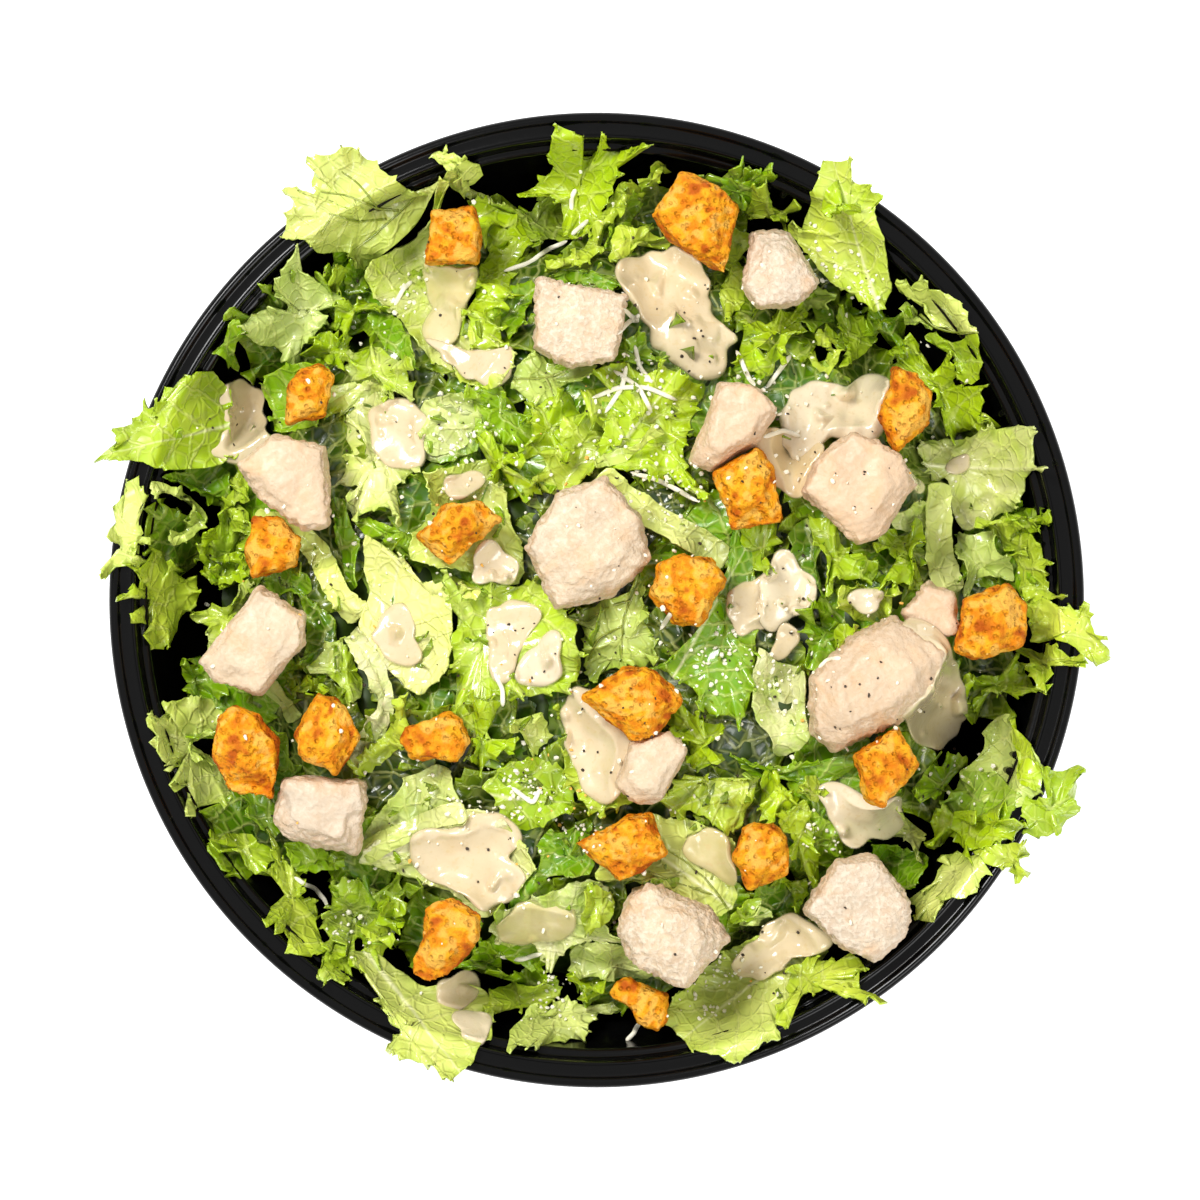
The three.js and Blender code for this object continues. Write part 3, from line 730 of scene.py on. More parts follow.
# Left side: a toothed leaf over the rim, dark glossy leaves and pale curled strips
leaf(SHADE_GREEN, [(-105.5, 23.5), (-97, 21.5), (-95, 16), (-95.5, 8), (-99, 4.5), (-105, 8), (-107, 15)], frill=0.8)
leaf(GREEN, [(-103, 29.5), (-98, 31), (-94, 34), (-90, 33), (-87, 30), (-87.5, 23), (-90, 23), (-95, 24.5),
             (-99, 27)], frill=0.25)
leaf(
    FRESH,
    [(-91.5, 54.3), (-89.5, 52.5), (-87.5, 51), (-86.5, 48), (-87, 44), (-87, 34, 0.3), (-92, 31, 0.3),
     (-100, 29.8, 0.3), (-104, 30.5), (-111, 32.2), (-118, 33.5), (-113, 36.2), (-114, 40.5), (-112, 39.5),
     (-109.8, 41.5), (-108, 44.5), (-107.5, 47.2), (-105.5, 46), (-102.5, 46.5), (-100.8, 48.3),
     (-101.5, 50.2), (-99, 50.8), (-97.5, 52.3), (-95, 52.2), (-93.5, 54)],
    frill=0.4, lift=3.0, curl=1.4, stiff=9, rib=(-86, 42, -112, 35), rib_wide=1.2, fold=0.1, blister=0.5,
)
leaf(
    PALE,
    [(-110.8, 28), (-109, 27), (-106.5, 25), (-105.8, 22), (-106.5, 17), (-108, 12), (-108, 8),
     (-109, 6.5), (-115.3, 6.8), (-113, 9.5), (-113.5, 11.5), (-114.5, 15.5), (-114, 22.5), (-112, 25)],
    frill=0.8, lift=2.0, stiff=8,
)
leaf(LIME, [(-108, 8), (-104, 13), (-99, 7), (-95, 6), (-95, 0), (-98.5, -5.5), (-100, -10), (-106, -13),
            (-104.5, -8.5), (-110.3, -4.2), (-107, -1), (-111.3, 0.5), (-108, 3.8)], frill=0.8, lift=1.5)
leaf(FRESH, [(-93, 18), (-88, 20), (-84, 16.5), (-85, 12), (-83, 8), (-87, 4), (-93, 6), (-96, 12)],
     frill=1.0,
     curl=3.0)
ribbon(CREAM, [(-105, 26.8), (-100.5, 25.5), (-97, 23.5), (-95, 19.5), (-97, 15.5), (-102, 13.5)], 3.5,
       frill=0.5, trough=2.0, lift=2)
ribbon(LIME, [(-86.5, 33), (-85, 31), (-86, 27), (-83.5, 26), (-88, 22.5), (-84, 21.5), (-85.5, 17.5),
              (-82, 17.5), (-84, 12.5)], 3, frill=0.6, lift=2)
ribbon(BRIGHT, [(-92, 15), (-92.5, 11), (-90.5, 9), (-84, 10), (-84, 8), (-87, 5.5), (-94.5, 6)], 3,
       frill=0.7,
       lift=2)
leaf(GREEN, [(-100, -17), (-92, -15), (-88, -20), (-90, -24), (-96, -22)], frill=0.8)
leaf(
    LIME,
    [(-82.5, 4), (-82, 0), (-85.5, -4), (-88, -8), (-91, -12.5), (-92.5, -11), (-93, -7), (-97.5, -5.8),
     (-98.5, -3.5), (-94.5, -2), (-92, 0), (-88, 0), (-85.5, 2.5)],
    frill=0.5, milk=0.3, lift=1.5,
)
leaf(
    PALE,
    [(-97, -22), (-93.5, -22.7), (-91.5, -24.3), (-89.5, -25.5), (-88.7, -28.5), (-89.5, -31.5),
     (-92.5, -32.3), (-94.5, -34.5), (-94, -37), (-90, -38.5), (-87.5, -41), (-84.8, -45), (-86.5, -48),
     (-89.5, -48.3), (-92.5, -49.7), (-96.5, -49.5), (-95.5, -46.5), (-98.3, -43), (-96.5, -40.5),
     (-102, -38.5), (-104, -37), (-103, -33.5), (-106.7, -29.6), (-103, -26), (-103.3, -23.8)],
    frill=0.6, lift=2.0, curl=2.0, hub=(-97, -34), blister=0.5, milk=0.15,
)
leaf(GREEN, [(-80, 4.5), (-75, 7), (-68, 7), (-67, 2.5), (-71, 0.8), (-76, 1)], frill=0.3)
leaf(SHADE_GREEN, [(-70, 1), (-65, -2), (-62, -5), (-61, -18), (-69, -18), (-69, -6)], frill=0.4)
leaf(
    FRESH,
    [(-65.5, -8.8), (-62, -8), (-60, -8.5), (-58.5, -11), (-57, -15), (-55.5, -20), (-56, -23),
     (-58.5, -24), (-61, -22), (-64, -19.5), (-68, -17.5), (-66.5, -13)],
    frill=0.5, milk=0.3, curl=3.0,
)
leaf(BRIGHT, [(-75, -20.5), (-70, -19.5), (-66, -18.5), (-65, -21), (-68.5, -22.3)], frill=0.8)
ribbon(MILKY, [(-78, -20), (-74, -24), (-71, -28.5)], 4, frill=0.2)

# Middle left: yellow inner leaves with milky dressing between a crouton and the dice
leaf(GREEN, [(-63, 24), (-58.5, 24), (-57.5, 18), (-55, 12), (-56, 5), (-58, 2), (-60, 10), (-62, 15)],
     frill=0.2)
leaf(MID, [(-58, 19), (-52, 19.5), (-47, 17.5), (-42, 13.5), (-42, 8), (-46, 10), (-51, 14), (-55, 14.5)],
     frill=0.25)
leaf(GREEN, [(-42, 47), (-35, 47), (-26, 42.5), (-29, 34), (-40, 33)], frill=0.3, milk=0.5)
leaf(GREY, [(-42, 46), (-36, 49), (-29, 47.5), (-26, 43), (-28, 38), (-36, 34), (-42, 36)], frill=0.25,
     milk=0.3)
leaf(
    CREAM,
    [(-59, 40), (-58, 35), (-60.5, 30), (-63, 26), (-57, 26.5), (-58, 22), (-60, 21.5), (-56, 18.5),
     (-50, 20), (-45.5, 18.8), (-46, 26), (-42.5, 31), (-41, 36), (-42, 42), (-50, 48), (-57, 46)],
    frill=0.6, lift=2.0, milk=0.3, hub=(-51, 34),
)
leaf(
    PALE,
    [(-42, 30), (-33, 32), (-26, 33), (-23, 30), (-20.5, 25), (-18.5, 20), (-17, 15), (-16.5, 10),
     (-18, 5), (-23, 3), (-31, 5), (-44, 10), (-40, 22)],
    frill=0.3, lift=1.0, curl=3.0, hub=(-32, 18), rib=(-26, 34, -22, 4), fold=0.1,
)
leaf(
    YELLOW,
    [(-55, 15.5, 0.3), (-50, 14), (-46, 10), (-42, 6), (-36, 4), (-34, 0, 0.3), (-33.5, -8, 0.3), (-34, -15),
     (-38, -20), (-42, -22.5), (-48, -18, 0.3), (-54, -12, 0.3), (-57, -6, 0.3), (-55, 2, 0.3), (-56, 8,
     0.3)],
    frill=0.35, lift=2.0, curl=2.4, rib=(-50, -16, -46, 12), rib_wide=2.0, fold=0.22, milk=0.15, wave=2.0,
)
ribbon(YELLOW, [(-81, 18.5), (-74, 18.3), (-68, 13.5), (-63.5, 7), (-59.5, 0.5), (-55.5, -4.5)], 6.5,
       frill=0.2,
       trough=1.6, lift=2.0)
ribbon(MILKY, [(-58, -8), (-53, -16), (-50, -24), (-54, -33), (-59, -38)], 6, frill=0.3, trough=2.4, milk=0.6)
ribbon(LIME, [(-45, -22), (-46, -29), (-50, -35), (-57, -40)], 5, frill=0.5, trough=2.2)

# Front left: a smooth leaf, frilly ones against the wall and a pale leaf over the rim
leaf(GREEN, [(-84, -46), (-78, -46), (-75, -50), (-74, -55), (-78, -57), (-83, -54)], frill=0.4)
leaf(MID, [(-76, -57), (-70, -57), (-64, -60), (-60, -63), (-66, -66), (-72, -64)], frill=0.4)
leaf(SHADE_GREEN, [(-62, -60), (-52, -60), (-46, -64), (-46, -76), (-54, -80), (-62, -70)], frill=0.9)
leaf(FRESH, [(-92.7, -54.8), (-90, -56), (-86, -55.3), (-81, -56), (-78, -58), (-76, -61), (-78, -63),
             (-77, -65.5), (-81, -65), (-84, -63), (-86, -60.5), (-90, -59)], frill=0.25, lift=1.5)
leaf(
    LIME,
    [(-77, -54.3), (-76, -57), (-74.5, -60.5), (-72, -63), (-69.8, -65.5), (-70, -71), (-67, -73),
     (-66.5, -77), (-65.5, -81.5), (-67, -83.5), (-71.5, -83.8), (-73.8, -79.5), (-74, -76),
     (-77.8, -76), (-78.2, -73), (-76.3, -69), (-77, -66), (-77, -61)],
    frill=0.7, lift=1.5, hub=(-72.5, -72),
)
leaf(
    FRESH,
    [(-65, -69), (-61, -67), (-55, -66.8), (-50, -68), (-46, -67), (-45.5, -71), (-46, -75), (-50, -75),
     (-48.5, -79), (-50.5, -85), (-53, -86), (-56.5, -82), (-58, -87), (-59, -89), (-64.5, -89.5),
     (-66, -85), (-60.5, -83), (-64, -82), (-67, -77), (-64, -74.5)],
    frill=0.7, lift=1.5, hub=(-58, -74), milk=0.1,
)
ribbon(BRIGHT, [(-50, -69), (-47.5, -72), (-50.5, -74.5), (-48, -77)], 4, frill=0.9, lift=2)
ribbon(LIME, [(-57, -86), (-53, -82.5), (-52, -79), (-49, -77.5)], 4.5, frill=0.9, lift=2)
leaf(GREEN, [(-34, -87), (-29, -83), (-25, -81), (-21, -89), (-26, -90)], frill=0.6)
leaf(
    PALE,
    [(-57.5, -83), (-55, -88.5), (-52, -93), (-50, -97), (-46.5, -101.5), (-49.8, -104.7),
     (-46, -107.7), (-42, -109.7), (-38, -110), (-36, -112.5), (-33, -113.7), (-30, -110.5),
     (-28, -109.5), (-26, -105), (-24, -103.5), (-25, -97), (-26.5, -93, 0.4), (-34, -91, 0.2),
     (-42, -91.5, 0.2), (-52, -84, 0.3)],
    frill=0.45, lift=3.0, curl=1.8, stiff=8, rib=(-55, -84, -33, -110), rib_wide=1.6, fold=0.15, blister=0.5,
)
leaf(MID, [(-24, -90), (-18, -89), (-14, -86.5), (-10, -90), (-9, -93), (-20, -92)], frill=0.7)
leaf(LIME, [(-26, -94), (-22, -92), (-17, -91), (-10, -92), (-8, -95), (-14, -98), (-24, -99)], frill=0.5)
leaf(
    CREAM,
    [(-21, -104.5), (-17, -98), (-14, -95.5), (-13, -98), (-9, -95.5), (0, -96), (5, -97), (6, -98),
     (0, -100.5), (-4, -105), (-7, -105.5), (-13, -106.5), (-18, -106)],
    frill=0.45, lift=1.5, rib=(-16, -104, 4, -98), fold=-0.3,
)
leaf(BRIGHT, [(-6, -91), (-4, -89), (0, -91), (0, -95), (-3, -96)], frill=0.9, lift=1.5)
leaf(GREY, [(-6, -82), (6, -81), (14, -88), (16, -90), (0, -90.5), (-6, -89)], frill=0.3, milk=0.2)
leaf(
    GREY,
    [(-27, -77), (-19, -72), (-13, -69.5), (-7, -67), (1, -66.5), (5, -73), (3, -77), (6, -81), (-4, -81),
     (-8, -86), (-11, -90), (-14, -86), (-17, -81), (-20, -84), (-25, -81)],
    frill=0.3, milk=0.5, curl=2.5, hub=(-10, -75),
)
leaf(LIME, [(-4, -70), (1, -66.5), (5, -73), (3, -77), (-3, -78)], frill=0.4)
leaf(
    PALE,
    [(11, -50, 0.3), (17, -51), (24, -52), (33, -56), (33, -64), (34, -70), (32, -74), (28, -76), (22, -72),
     (16, -68), (8, -66), (0, -66), (0, -62)],
    frill=0.25, rib=(31, -72, 6, -54), rib_wide=1.4, fold=0.12, lift=1.0, blister=0.4,
)
vein([(31, -73), (26, -66), (20, -61), (12, -56)])
vein([(29, -70), (20, -67), (12, -64)])
vein([(27, -66), (29, -60), (29, -57)])

# Front middle: smooth leaves with crumbs and a crisp white rib under the dressing
leaf(
    FRESH,
    [(-28, -44, 0.4), (-24, -40), (-20, -37), (-14, -37), (-8, -40), (-4, -48), (-10, -52), (-19, -55),
     (-24, -48)],
    frill=0.35, lift=1.0, rib=(-26, -46, -6, -48), rib_wide=1.2, fold=0.1,
)
leaf(GREEN, [(-13, -55), (-8, -53), (-2, -52), (-1, -61), (-1, -64), (-5, -66), (-11, -66), (-15, -65)],
     frill=0.3, lift=1.0)
leaf(
    LIME,
    [(-9.5, -25), (-8, -30), (-9, -36), (-8, -40), (-6, -45), (-3, -50), (1, -51.5), (6, -50), (13, -49),
     (16, -40), (12, -30), (2, -22)],
    frill=0.5, curl=2.8, lift=1.0,
)
leaf(
    LIME,
    [(13, -47), (17, -45), (20, -42), (24, -41), (34, -41), (38, -44), (36, -50), (34, -53), (29, -54),
     (20, -50), (18.5, -51.5)],
    frill=0.6, rib=(36, -44, 16, -49), rib_wide=1.0, blister=0.6,
)
leaf(GREY, [(-31, -53), (-32, -46), (-34, -40), (-38, -38.5), (-45, -42), (-52, -50), (-56, -60), (-44, -56)],
     frill=0.2, rib=(-52, -56, -36, -40), fold=0.2, milk=0.2)
leaf(
    CREAM,
    [(-57, -62), (-52, -56, 0.3), (-42, -53, 0.3), (-31, -49, 0.3), (-24, -50), (-17, -56), (-13, -64),
     (-20, -71), (-27, -75), (-34, -70), (-42, -67), (-50, -64)],
    frill=0.3, lift=1.5, rib=(-56, -60, -20, -52), rib_wide=5.0, milk=0.3,
)
ribbon(CREAM, [(-55, -60), (-47, -55.5), (-38, -51.5), (-31, -49.5)], 5.5, frill=0.1, trough=-1.0, lift=1.5)

# Centre: a serrated leaf, crisp hearts and a smooth strap
leaf(GREEN, [(2, 57), (8, 63), (10, 64), (13, 58), (16, 56), (4, 55)], frill=0.5)
leaf(GREEN, [(10, 5), (22, 22), (34, 26), (36, 14), (24, 2)], frill=0.4, lift=0.6)
leaf(GREY, [(-20, 53), (-17, 57), (-14, 59), (-9, 56), (0, 56), (-1, 52), (-8, 49), (-8, 45), (-13, 44),
            (-19, 49)], frill=0.3)
vein([(-19, 52), (-12, 52), (-6, 55)])
vein([(-12, 52), (-10, 48)])
leaf(MID, [(-28, 52), (-20, 48), (-14, 42), (-16, 36), (-24, 36), (-30, 42)], frill=0.8)
leaf(BRIGHT, [(-16, 33), (-16, 40), (-14, 46), (-8, 50), (-3, 46), (-6, 40), (-8, 34)], frill=0.9)
leaf(
    LIME,
    [(-15, 28), (-13, 31), (-13, 35), (-9, 37), (-8, 42), (-4, 44), (-2, 49), (4, 50), (10, 50),
     (10, 42), (6, 36), (0, 30), (-8, 24)],
    frill=0.5, rib=(-8, 26, 2, 48), fold=0.15,
)
leaf(
    BRIGHT,
    [(0, 54), (5, 57), (12, 55), (15, 57), (19, 55), (22, 52), (26, 50), (24, 46), (22, 40), (22, 29),
     (26, 24), (14, 28), (3, 29.5), (-1, 31.5), (2, 40), (2, 48)],
    frill=0.5, curl=2.4, rib=(2, 32, 18, 52), rib_wide=1.4, fold=0.15, hub=(12, 42), lift=1.0,
)
ribbon(PALE, [(-1, 31.5), (8, 35), (15, 40)], 3.5, frill=0.2, trough=2.0)
ribbon(CREAM, [(0, 29.5), (6, 24), (12, 20.5), (19, 16), (25, 13), (31, 9.5)], 7.5, frill=0.15, trough=1.4,
       lift=2.0)
leaf(
    BRIGHT,
    [(-28, 38), (-27, 33), (-24, 29), (-21, 27), (-19.5, 24.5), (-15.5, 25.5), (-13, 27), (-18.5, 29),
     (-18, 32.5), (-20, 37), (-23, 38), (-25.5, 39)],
    frill=0.9, lift=1.5,
)
leaf(
    GREY,
    [(9.5, 6), (6, 3.5), (0.5, 1.5), (-1, -0.5), (-5.5, -3.8), (-3, -7.5), (-3.5, -11), (-3, -15),
     (-1.5, -19), (8, -16), (12, -16), (15, -9), (12, -4)],
    frill=0.6, curl=2.4, blister=0.4,
)
vein([(10, 4), (6, -4), (6, -14)])
vein([(8, 0), (2, -2), (-2, -5)])
vein([(6, -6), (0, -9), (-2, -14)])
leaf(
    GREEN,
    [(31.5, 16, 0), (33, 20), (38, 20), (42, 18), (41, 10), (38, -10), (37, -20), (34, -28), (30, -28),
     (26, -27), (22, -22), (15, -18), (12, -16.5), (17, -12, 0.2), (22, -7, 0.2), (26, -2, 0.2),
     (28, 3, 0.2), (31.5, 10, 0)],
    frill=0.6, lift=1.2, hub=(30, -8), rib=(18, -18, 36, 14), rib_wide=1.2, fold=0.15,
)
leaf(FRESH, [(34, 18), (40, 20), (44, 19), (43, 14), (40, 10), (41, 6), (37, 7), (34, 10)], frill=0.7,
     lift=1.5)
leaf(
    BRIGHT,
    [(-34, 6), (-35.5, 0), (-34, -4), (-35, -11), (-33.5, -18), (-34, -24), (-32, -29), (-29.5, -34),
     (-29, -38), (-25, -30), (-22, -24), (-10, -23), (-4, -20), (-2, -17), (-3.5, -11), (-4, -6), (-8, 0),
     (-13, 4), (-22, 4)],
    frill=0.6, milk=0.15, hub=(-26, -10), rib=(-30, 4, -26, -30), fold=0.15, lift=1.5,
)
leaf(YELLOW, [(-33, 4.5), (-28, 3), (-27, 0), (-31, 0)], frill=0.1)
leaf(BRIGHT, [(-29, -23), (-25, -23), (-23, -26), (-25, -30), (-24, -34), (-20, -34), (-24, -38), (-28, -42)],
     frill=0.9, lift=1.5)
leaf(PALE, [(-20, -28), (-14, -26), (-11, -32), (-16, -36)], frill=0.5)
leaf(
    BRIGHT,
    [(16.5, -28), (17, -26), (20, -24.5), (24, -28), (28, -29), (31, -31), (27, -35), (28, -40), (23, -40),
     (18, -31)],
    frill=0.8, lift=1.5,
)
leaf(
    GREY,
    [(38, -12), (42, -14), (48, -16), (50, -20), (50.5, -32), (46, -36), (42, -37), (40, -33), (36, -27)],
    frill=0.2, milk=0.5, lift=1.0, wave=2.0,
)
leaf(GREEN, [(30, -36), (38, -38), (50, -38), (60, -36), (58, -42), (48, -44), (38, -42)], frill=0.5)

# Back: a frilly upright leaf, glossy leaves against the wall and a bright twisted ribbon
leaf(GREEN, [(-25, 70), (-22, 74), (-18, 76), (-15, 74), (-17, 64), (-21, 63), (-24, 66)], frill=0.5)
leaf(GREEN, [(-12, 77), (-6, 79), (0, 78), (5, 76), (5, 72.5), (-8, 75)], frill=0.4)
leaf(GREEN, [(28, 99.5), (30, 101.5), (38, 100), (38, 93), (31, 97)], frill=0.9)
leaf(
    FRESH,
    [(-28, 96), (-25, 95.5), (-20, 94.5), (-17, 94), (-14, 96), (-10, 99), (-7, 92), (-6, 86),
     (-12, 84.5), (-17, 84), (-21, 88), (-27, 92)],
    frill=0.5, curl=2.6, lift=1.0, milk=0.15,
)
leaf(
    BRIGHT,
    [(-11, 103), (-11.3, 109), (-9, 112), (-7, 112), (-3.5, 109.5), (-3.5, 107), (-2.5, 105.8), (1, 108),
     (2.5, 109), (6, 107), (9, 107), (12.5, 107.8), (13, 107), (7, 105), (6, 102), (5, 98), (3, 93),
     (1, 89), (-2, 86), (-5, 85), (-8, 88), (-9, 94), (-12, 96), (-19, 96.5), (-13, 101)],
    frill=0.5, lift=2.0, stiff=7, hub=(-4, 97), rib=(-4, 86, -5, 110), fold=0.3,
)
leaf(MID, [(0.5, 83), (4, 82.5), (7, 86), (10, 92), (11, 96), (6, 96)], frill=0.3)
ribbon(LIME, [(-12, 77.5), (-6, 80.5), (-1, 83.5), (2, 90), (6, 95.5), (12, 98.5), (15, 104)], 4.5, frill=0.6,
       trough=2.2, lift=2)
leaf(LIME, [(5, 89), (9, 88.5), (12, 89.5), (16, 86), (17, 84), (15, 82.5), (11, 83), (5, 79.5), (2, 82)],
     frill=0.4)
ribbon(YELLOW, [(-39, 106), (-37, 104), (-34, 103.5), (-32, 102), (-29, 101), (-32, 98.5), (-25, 95.5)], 3.6,
       frill=0.7, lift=2.5)
ribbon(
    BRIGHT,
    [(-29, 92), (-23, 90), (-20, 86), (-23, 80), (-24, 75), (-26, 70), (-26, 64), (-25, 59)],
    8, frill=0.9, lift=2.0,
)
leaf(GREEN, [(28, 99), (33, 101), (40, 99), (38, 93), (31, 95)], frill=0.9)
leaf(LIME, [(36, 97), (40, 97), (42, 95), (47, 93), (46, 91.5), (48, 88), (43, 91), (37, 91)], frill=0.8)
leaf(
    LIME,
    [(31, 89), (33, 89.5), (36, 89), (38, 87), (34, 85), (33, 83), (36, 79), (36, 75), (35, 72.5), (35, 69),
     (33, 67), (31, 65.5), (28, 69), (27.5, 71), (29, 73), (31, 79), (30, 82), (28.5, 85.5)],
    frill=0.6, lift=2.0,
)
leaf(SHADE_GREEN, [(50, 70), (56, 74), (64, 70), (68, 64), (60, 60), (52, 64)], frill=0.8)
leaf(GREY, [(46, 70), (50, 78), (54, 76), (57, 72), (52, 69)], frill=0.5)
leaf(
    BRIGHT,
    [(34, 62), (36, 66), (38, 68), (40, 67), (43, 69.5), (46, 68.5), (49, 69), (51, 68), (49.5, 66.5),
     (51.5, 65), (48, 63), (46, 61), (44, 58), (42, 54), (41, 51), (38, 51.5), (34, 54)],
    frill=0.7, hub=(41, 62), lift=1.0,
)
leaf(
    FRESH,
    [(53, 62), (54, 64.5), (56, 63), (58, 65.5), (57, 68), (60, 70), (62, 69), (64, 69), (66, 67), (69, 65.5),
     (67, 63), (66, 61), (64, 58.5), (61, 57), (58, 58.5), (56, 60)],
    frill=0.7, lift=1.0,
)
ribbon(LIME, [(52, 62), (55.5, 61.5), (56.5, 58), (54.5, 55.5), (52, 56), (51, 59)], 2.6, frill=0.5, lift=2.5)

# Back right: a big pale leaf over the rim, frills round a crouton
leaf(GREEN, [(64, 68), (68, 71), (73, 67.5), (75, 66), (75, 62), (70, 60), (66, 64)], frill=0.9)
leaf(
    LIME,
    [(54.5, 104.7), (57, 104.5), (59.3, 104.3), (60.3, 102.5), (60.8, 100.3), (63, 98.8), (64.3, 99),
     (65, 97), (67.5, 94.6), (66.5, 92.5), (66.5, 90, 0.2), (68.2, 85, 0.1), (69, 79, 0.1), (70.2, 73.5, 0.3),
     (69, 71), (67, 68.5), (62, 71), (57, 74, 0.3), (53, 78, 0.3), (50, 82, 0.3), (46, 86), (45.7, 87.5),
     (48, 88), (49, 91), (50.3, 95), (52, 100), (53, 103)],
    frill=0.5, lift=3.0, stiff=8, curl=1.8, rib=(66, 72, 57, 100), rib_wide=1.2, fold=0.15, hub=(59, 86),
    milk=0.1,
)
leaf(BRIGHT, [(52, 93.5), (54, 96.5), (56.5, 97.5), (57, 95), (58, 92.5), (61, 91.5), (60, 90), (55, 91)],
     frill=0.6, lift=2.0)
leaf(GREY, [(72.5, 70), (75.5, 70.3), (77.5, 67), (79.5, 64.5), (76, 64.5), (73, 67)], frill=0.3)
leaf(
    FRESH,
    [(80, 64), (84, 63.2), (89.8, 62.5), (90.5, 59), (91.7, 56), (91.5, 52.5), (90, 50.5), (87, 51),
     (85.5, 53), (84, 58), (80.5, 60.5), (78.5, 62.5)],
    frill=0.25, lift=1.0,
)
leaf(
    PALE,
    [(70.5, 74), (72.5, 75.5), (74, 74), (76.5, 75.7), (78, 75.5), (79.5, 73.5), (82, 72.5), (85, 70.5),
     (87, 68.5), (88.5, 66), (89.8, 63, 0.2), (86, 62.5, 0), (83, 63.5, 0), (80, 64.5, 0), (78, 67, 0),
     (76, 69.5), (73, 71)],
    frill=0.4, lift=1.5, curl=1.6,
)
vein([(77, 68), (80, 65), (85, 63.5), (90, 63)])
leaf(
    BRIGHT,
    [(69.7, 61), (71, 62), (73, 61.5), (75, 60), (76.5, 62), (79.5, 59.5), (79, 55.5), (82.5, 59),
     (85, 55), (85.8, 51.5), (89, 50.5), (92, 51), (93, 46), (91.5, 44), (92, 42), (96.5, 42.3), (94, 40.5),
     (88, 39), (84, 38.5), (82, 45), (79, 50), (75, 49.8), (74, 52.5), (70, 55.5), (71.5, 58)],
    frill=0.7, hub=(82, 50), lift=1.5,
)

# Right: milky leaves round the dice, and frills that reach the wall
leaf(GREEN, [(88, 20), (104, 22), (106, 12), (100, 2), (88, 4)], frill=0.8, lift=0.5)
leaf(
    PALE,
    [(76.5, 37), (79, 38), (83, 38), (87, 39), (90, 40), (95, 42), (103, 41.5), (105, 37), (104.5, 34.5),
     (105, 31), (102.5, 28.5), (103, 26), (100.5, 23), (98, 20), (91, 17, 0.4), (87, 16.5, 0.3),
     (84.5, 22, 0.3), (83.5, 28.5, 0.3), (80, 28), (77.5, 34)],
    frill=0.45, lift=2.0, rib=(80, 32, 103, 31), rib_wide=1.2, fold=0.1, milk=0.3, blister=0.5,
)
leaf(FRESH, [(97, 20), (99, 21.5), (103, 20.5), (106.5, 21), (107.3, 17.5), (104.5, 19), (103.5, 16.5),
             (99.5, 15.5), (97, 17)], frill=0.6, lift=2.0)
leaf(GREY, [(70, 20), (73, 23), (77, 25), (78, 18), (75, 16), (70, 16.5)], frill=0.3, milk=0.4)
leaf(
    GREY,
    [(85.5, 13), (86.5, 16), (90, 17), (95, 17.5), (96.5, 12.5), (98.5, 10), (99.7, 7), (99.5, 4.2),
     (95, 4.2), (92, 4.5), (89.5, 2.3), (86, 1), (85, 4), (85.5, 8)],
    frill=0.35, curl=3.5, milk=0.15,
)
ribbon(
    LIME,
    [(95.5, 19), (98, 14.5), (102, 12.5), (103.5, 8), (104.5, 3.5), (107, 0)],
    6.5, frill=0.8, lift=2.0,
)
ribbon(CREAM, [(81.5, 28.5), (81, 22), (81.2, 15), (82, 8), (84, 1.5)], 7.5, frill=0.15, trough=1.6, lift=2)
leaf(SHADE_GREEN, [(43.5, 15), (46, 17.5), (50, 19), (54, 17), (53, 8), (53, 0), (50, 4), (46, 10)], frill=0.2)
leaf(
    FRESH,
    [(50, 19), (54, 20.5), (57, 17), (58.5, 13.5), (60, 11), (63, 10.2), (66.5, 8), (66.5, 6), (65, 4.5),
     (62, 3.5), (58, 3.5), (56, 4.5), (55.5, 1), (53, 2), (52, 10)],
    frill=0.45, lift=1.5, curl=2.6,
)
leaf(
    BRIGHT,
    [(65.5, 13), (66.5, 16), (68, 17), (71, 15.5), (74, 16), (77, 18.5), (78.5, 17), (79, 13.5), (76, 12),
     (75.3, 7.5), (75.5, 5), (78.7, 1), (78.5, -0.5), (76, 0), (74, 3), (71.5, 3), (67, 4), (69, 7),
     (68.5, 9.5)],
    frill=0.6, lift=1.5, curl=2.6,
)
leaf(GREEN, [(48, -4), (54, -4), (58, -8), (57, -16), (50, -16), (49, -10)], frill=0.9)
leaf(LIME, [(57, 4), (60, 3.5), (66, 4), (70, 2), (72, 3), (70, -2), (66, -5.5), (60, -4), (56.5, -1)],
     frill=0.4)
leaf(BRIGHT, [(56, -6.5), (58, -5.5), (61, -6), (66, -6), (61.5, -9), (61.5, -12), (59.5, -16.5), (57.5, -12),
              (56.5, -9)], frill=0.6, lift=2.5, over=True)
leaf(
    LIME,
    [(102, -1), (104, 1), (106, 2), (108, 0.5), (111, -0.5), (113.5, -2), (116, -1), (117.5, -4),
     (118.7, -9.5), (120.3, -12), (119, -14.5), (116, -14.5), (113, -13.5), (109, -10), (106, -10),
     (103, -9.5), (102.5, -4)],
    frill=0.6, lift=2.0, stiff=8, blister=0.5,
)
leaf(
    FRESH,
    [(96, -17), (98, -14), (101, -15), (103, -20), (106, -22.5), (101, -24), (98, -22.5), (92, -22.5),
     (90.5, -25), (89, -28), (87, -26), (88, -21), (90, -19.5)],
    frill=0.6, lift=1.0,
)
leaf(
    LIME,
    [(101, -10), (105, -12), (108, -9.5), (112, -13), (114.5, -15.5), (109, -15), (107.5, -18),
     (104.5, -22), (102.5, -17), (101, -13)],
    frill=0.6, lift=2.0,
)
ribbon(BRIGHT, [(89, -18), (87.5, -21), (86.5, -28)], 2.6, frill=0.4, lift=2.0)

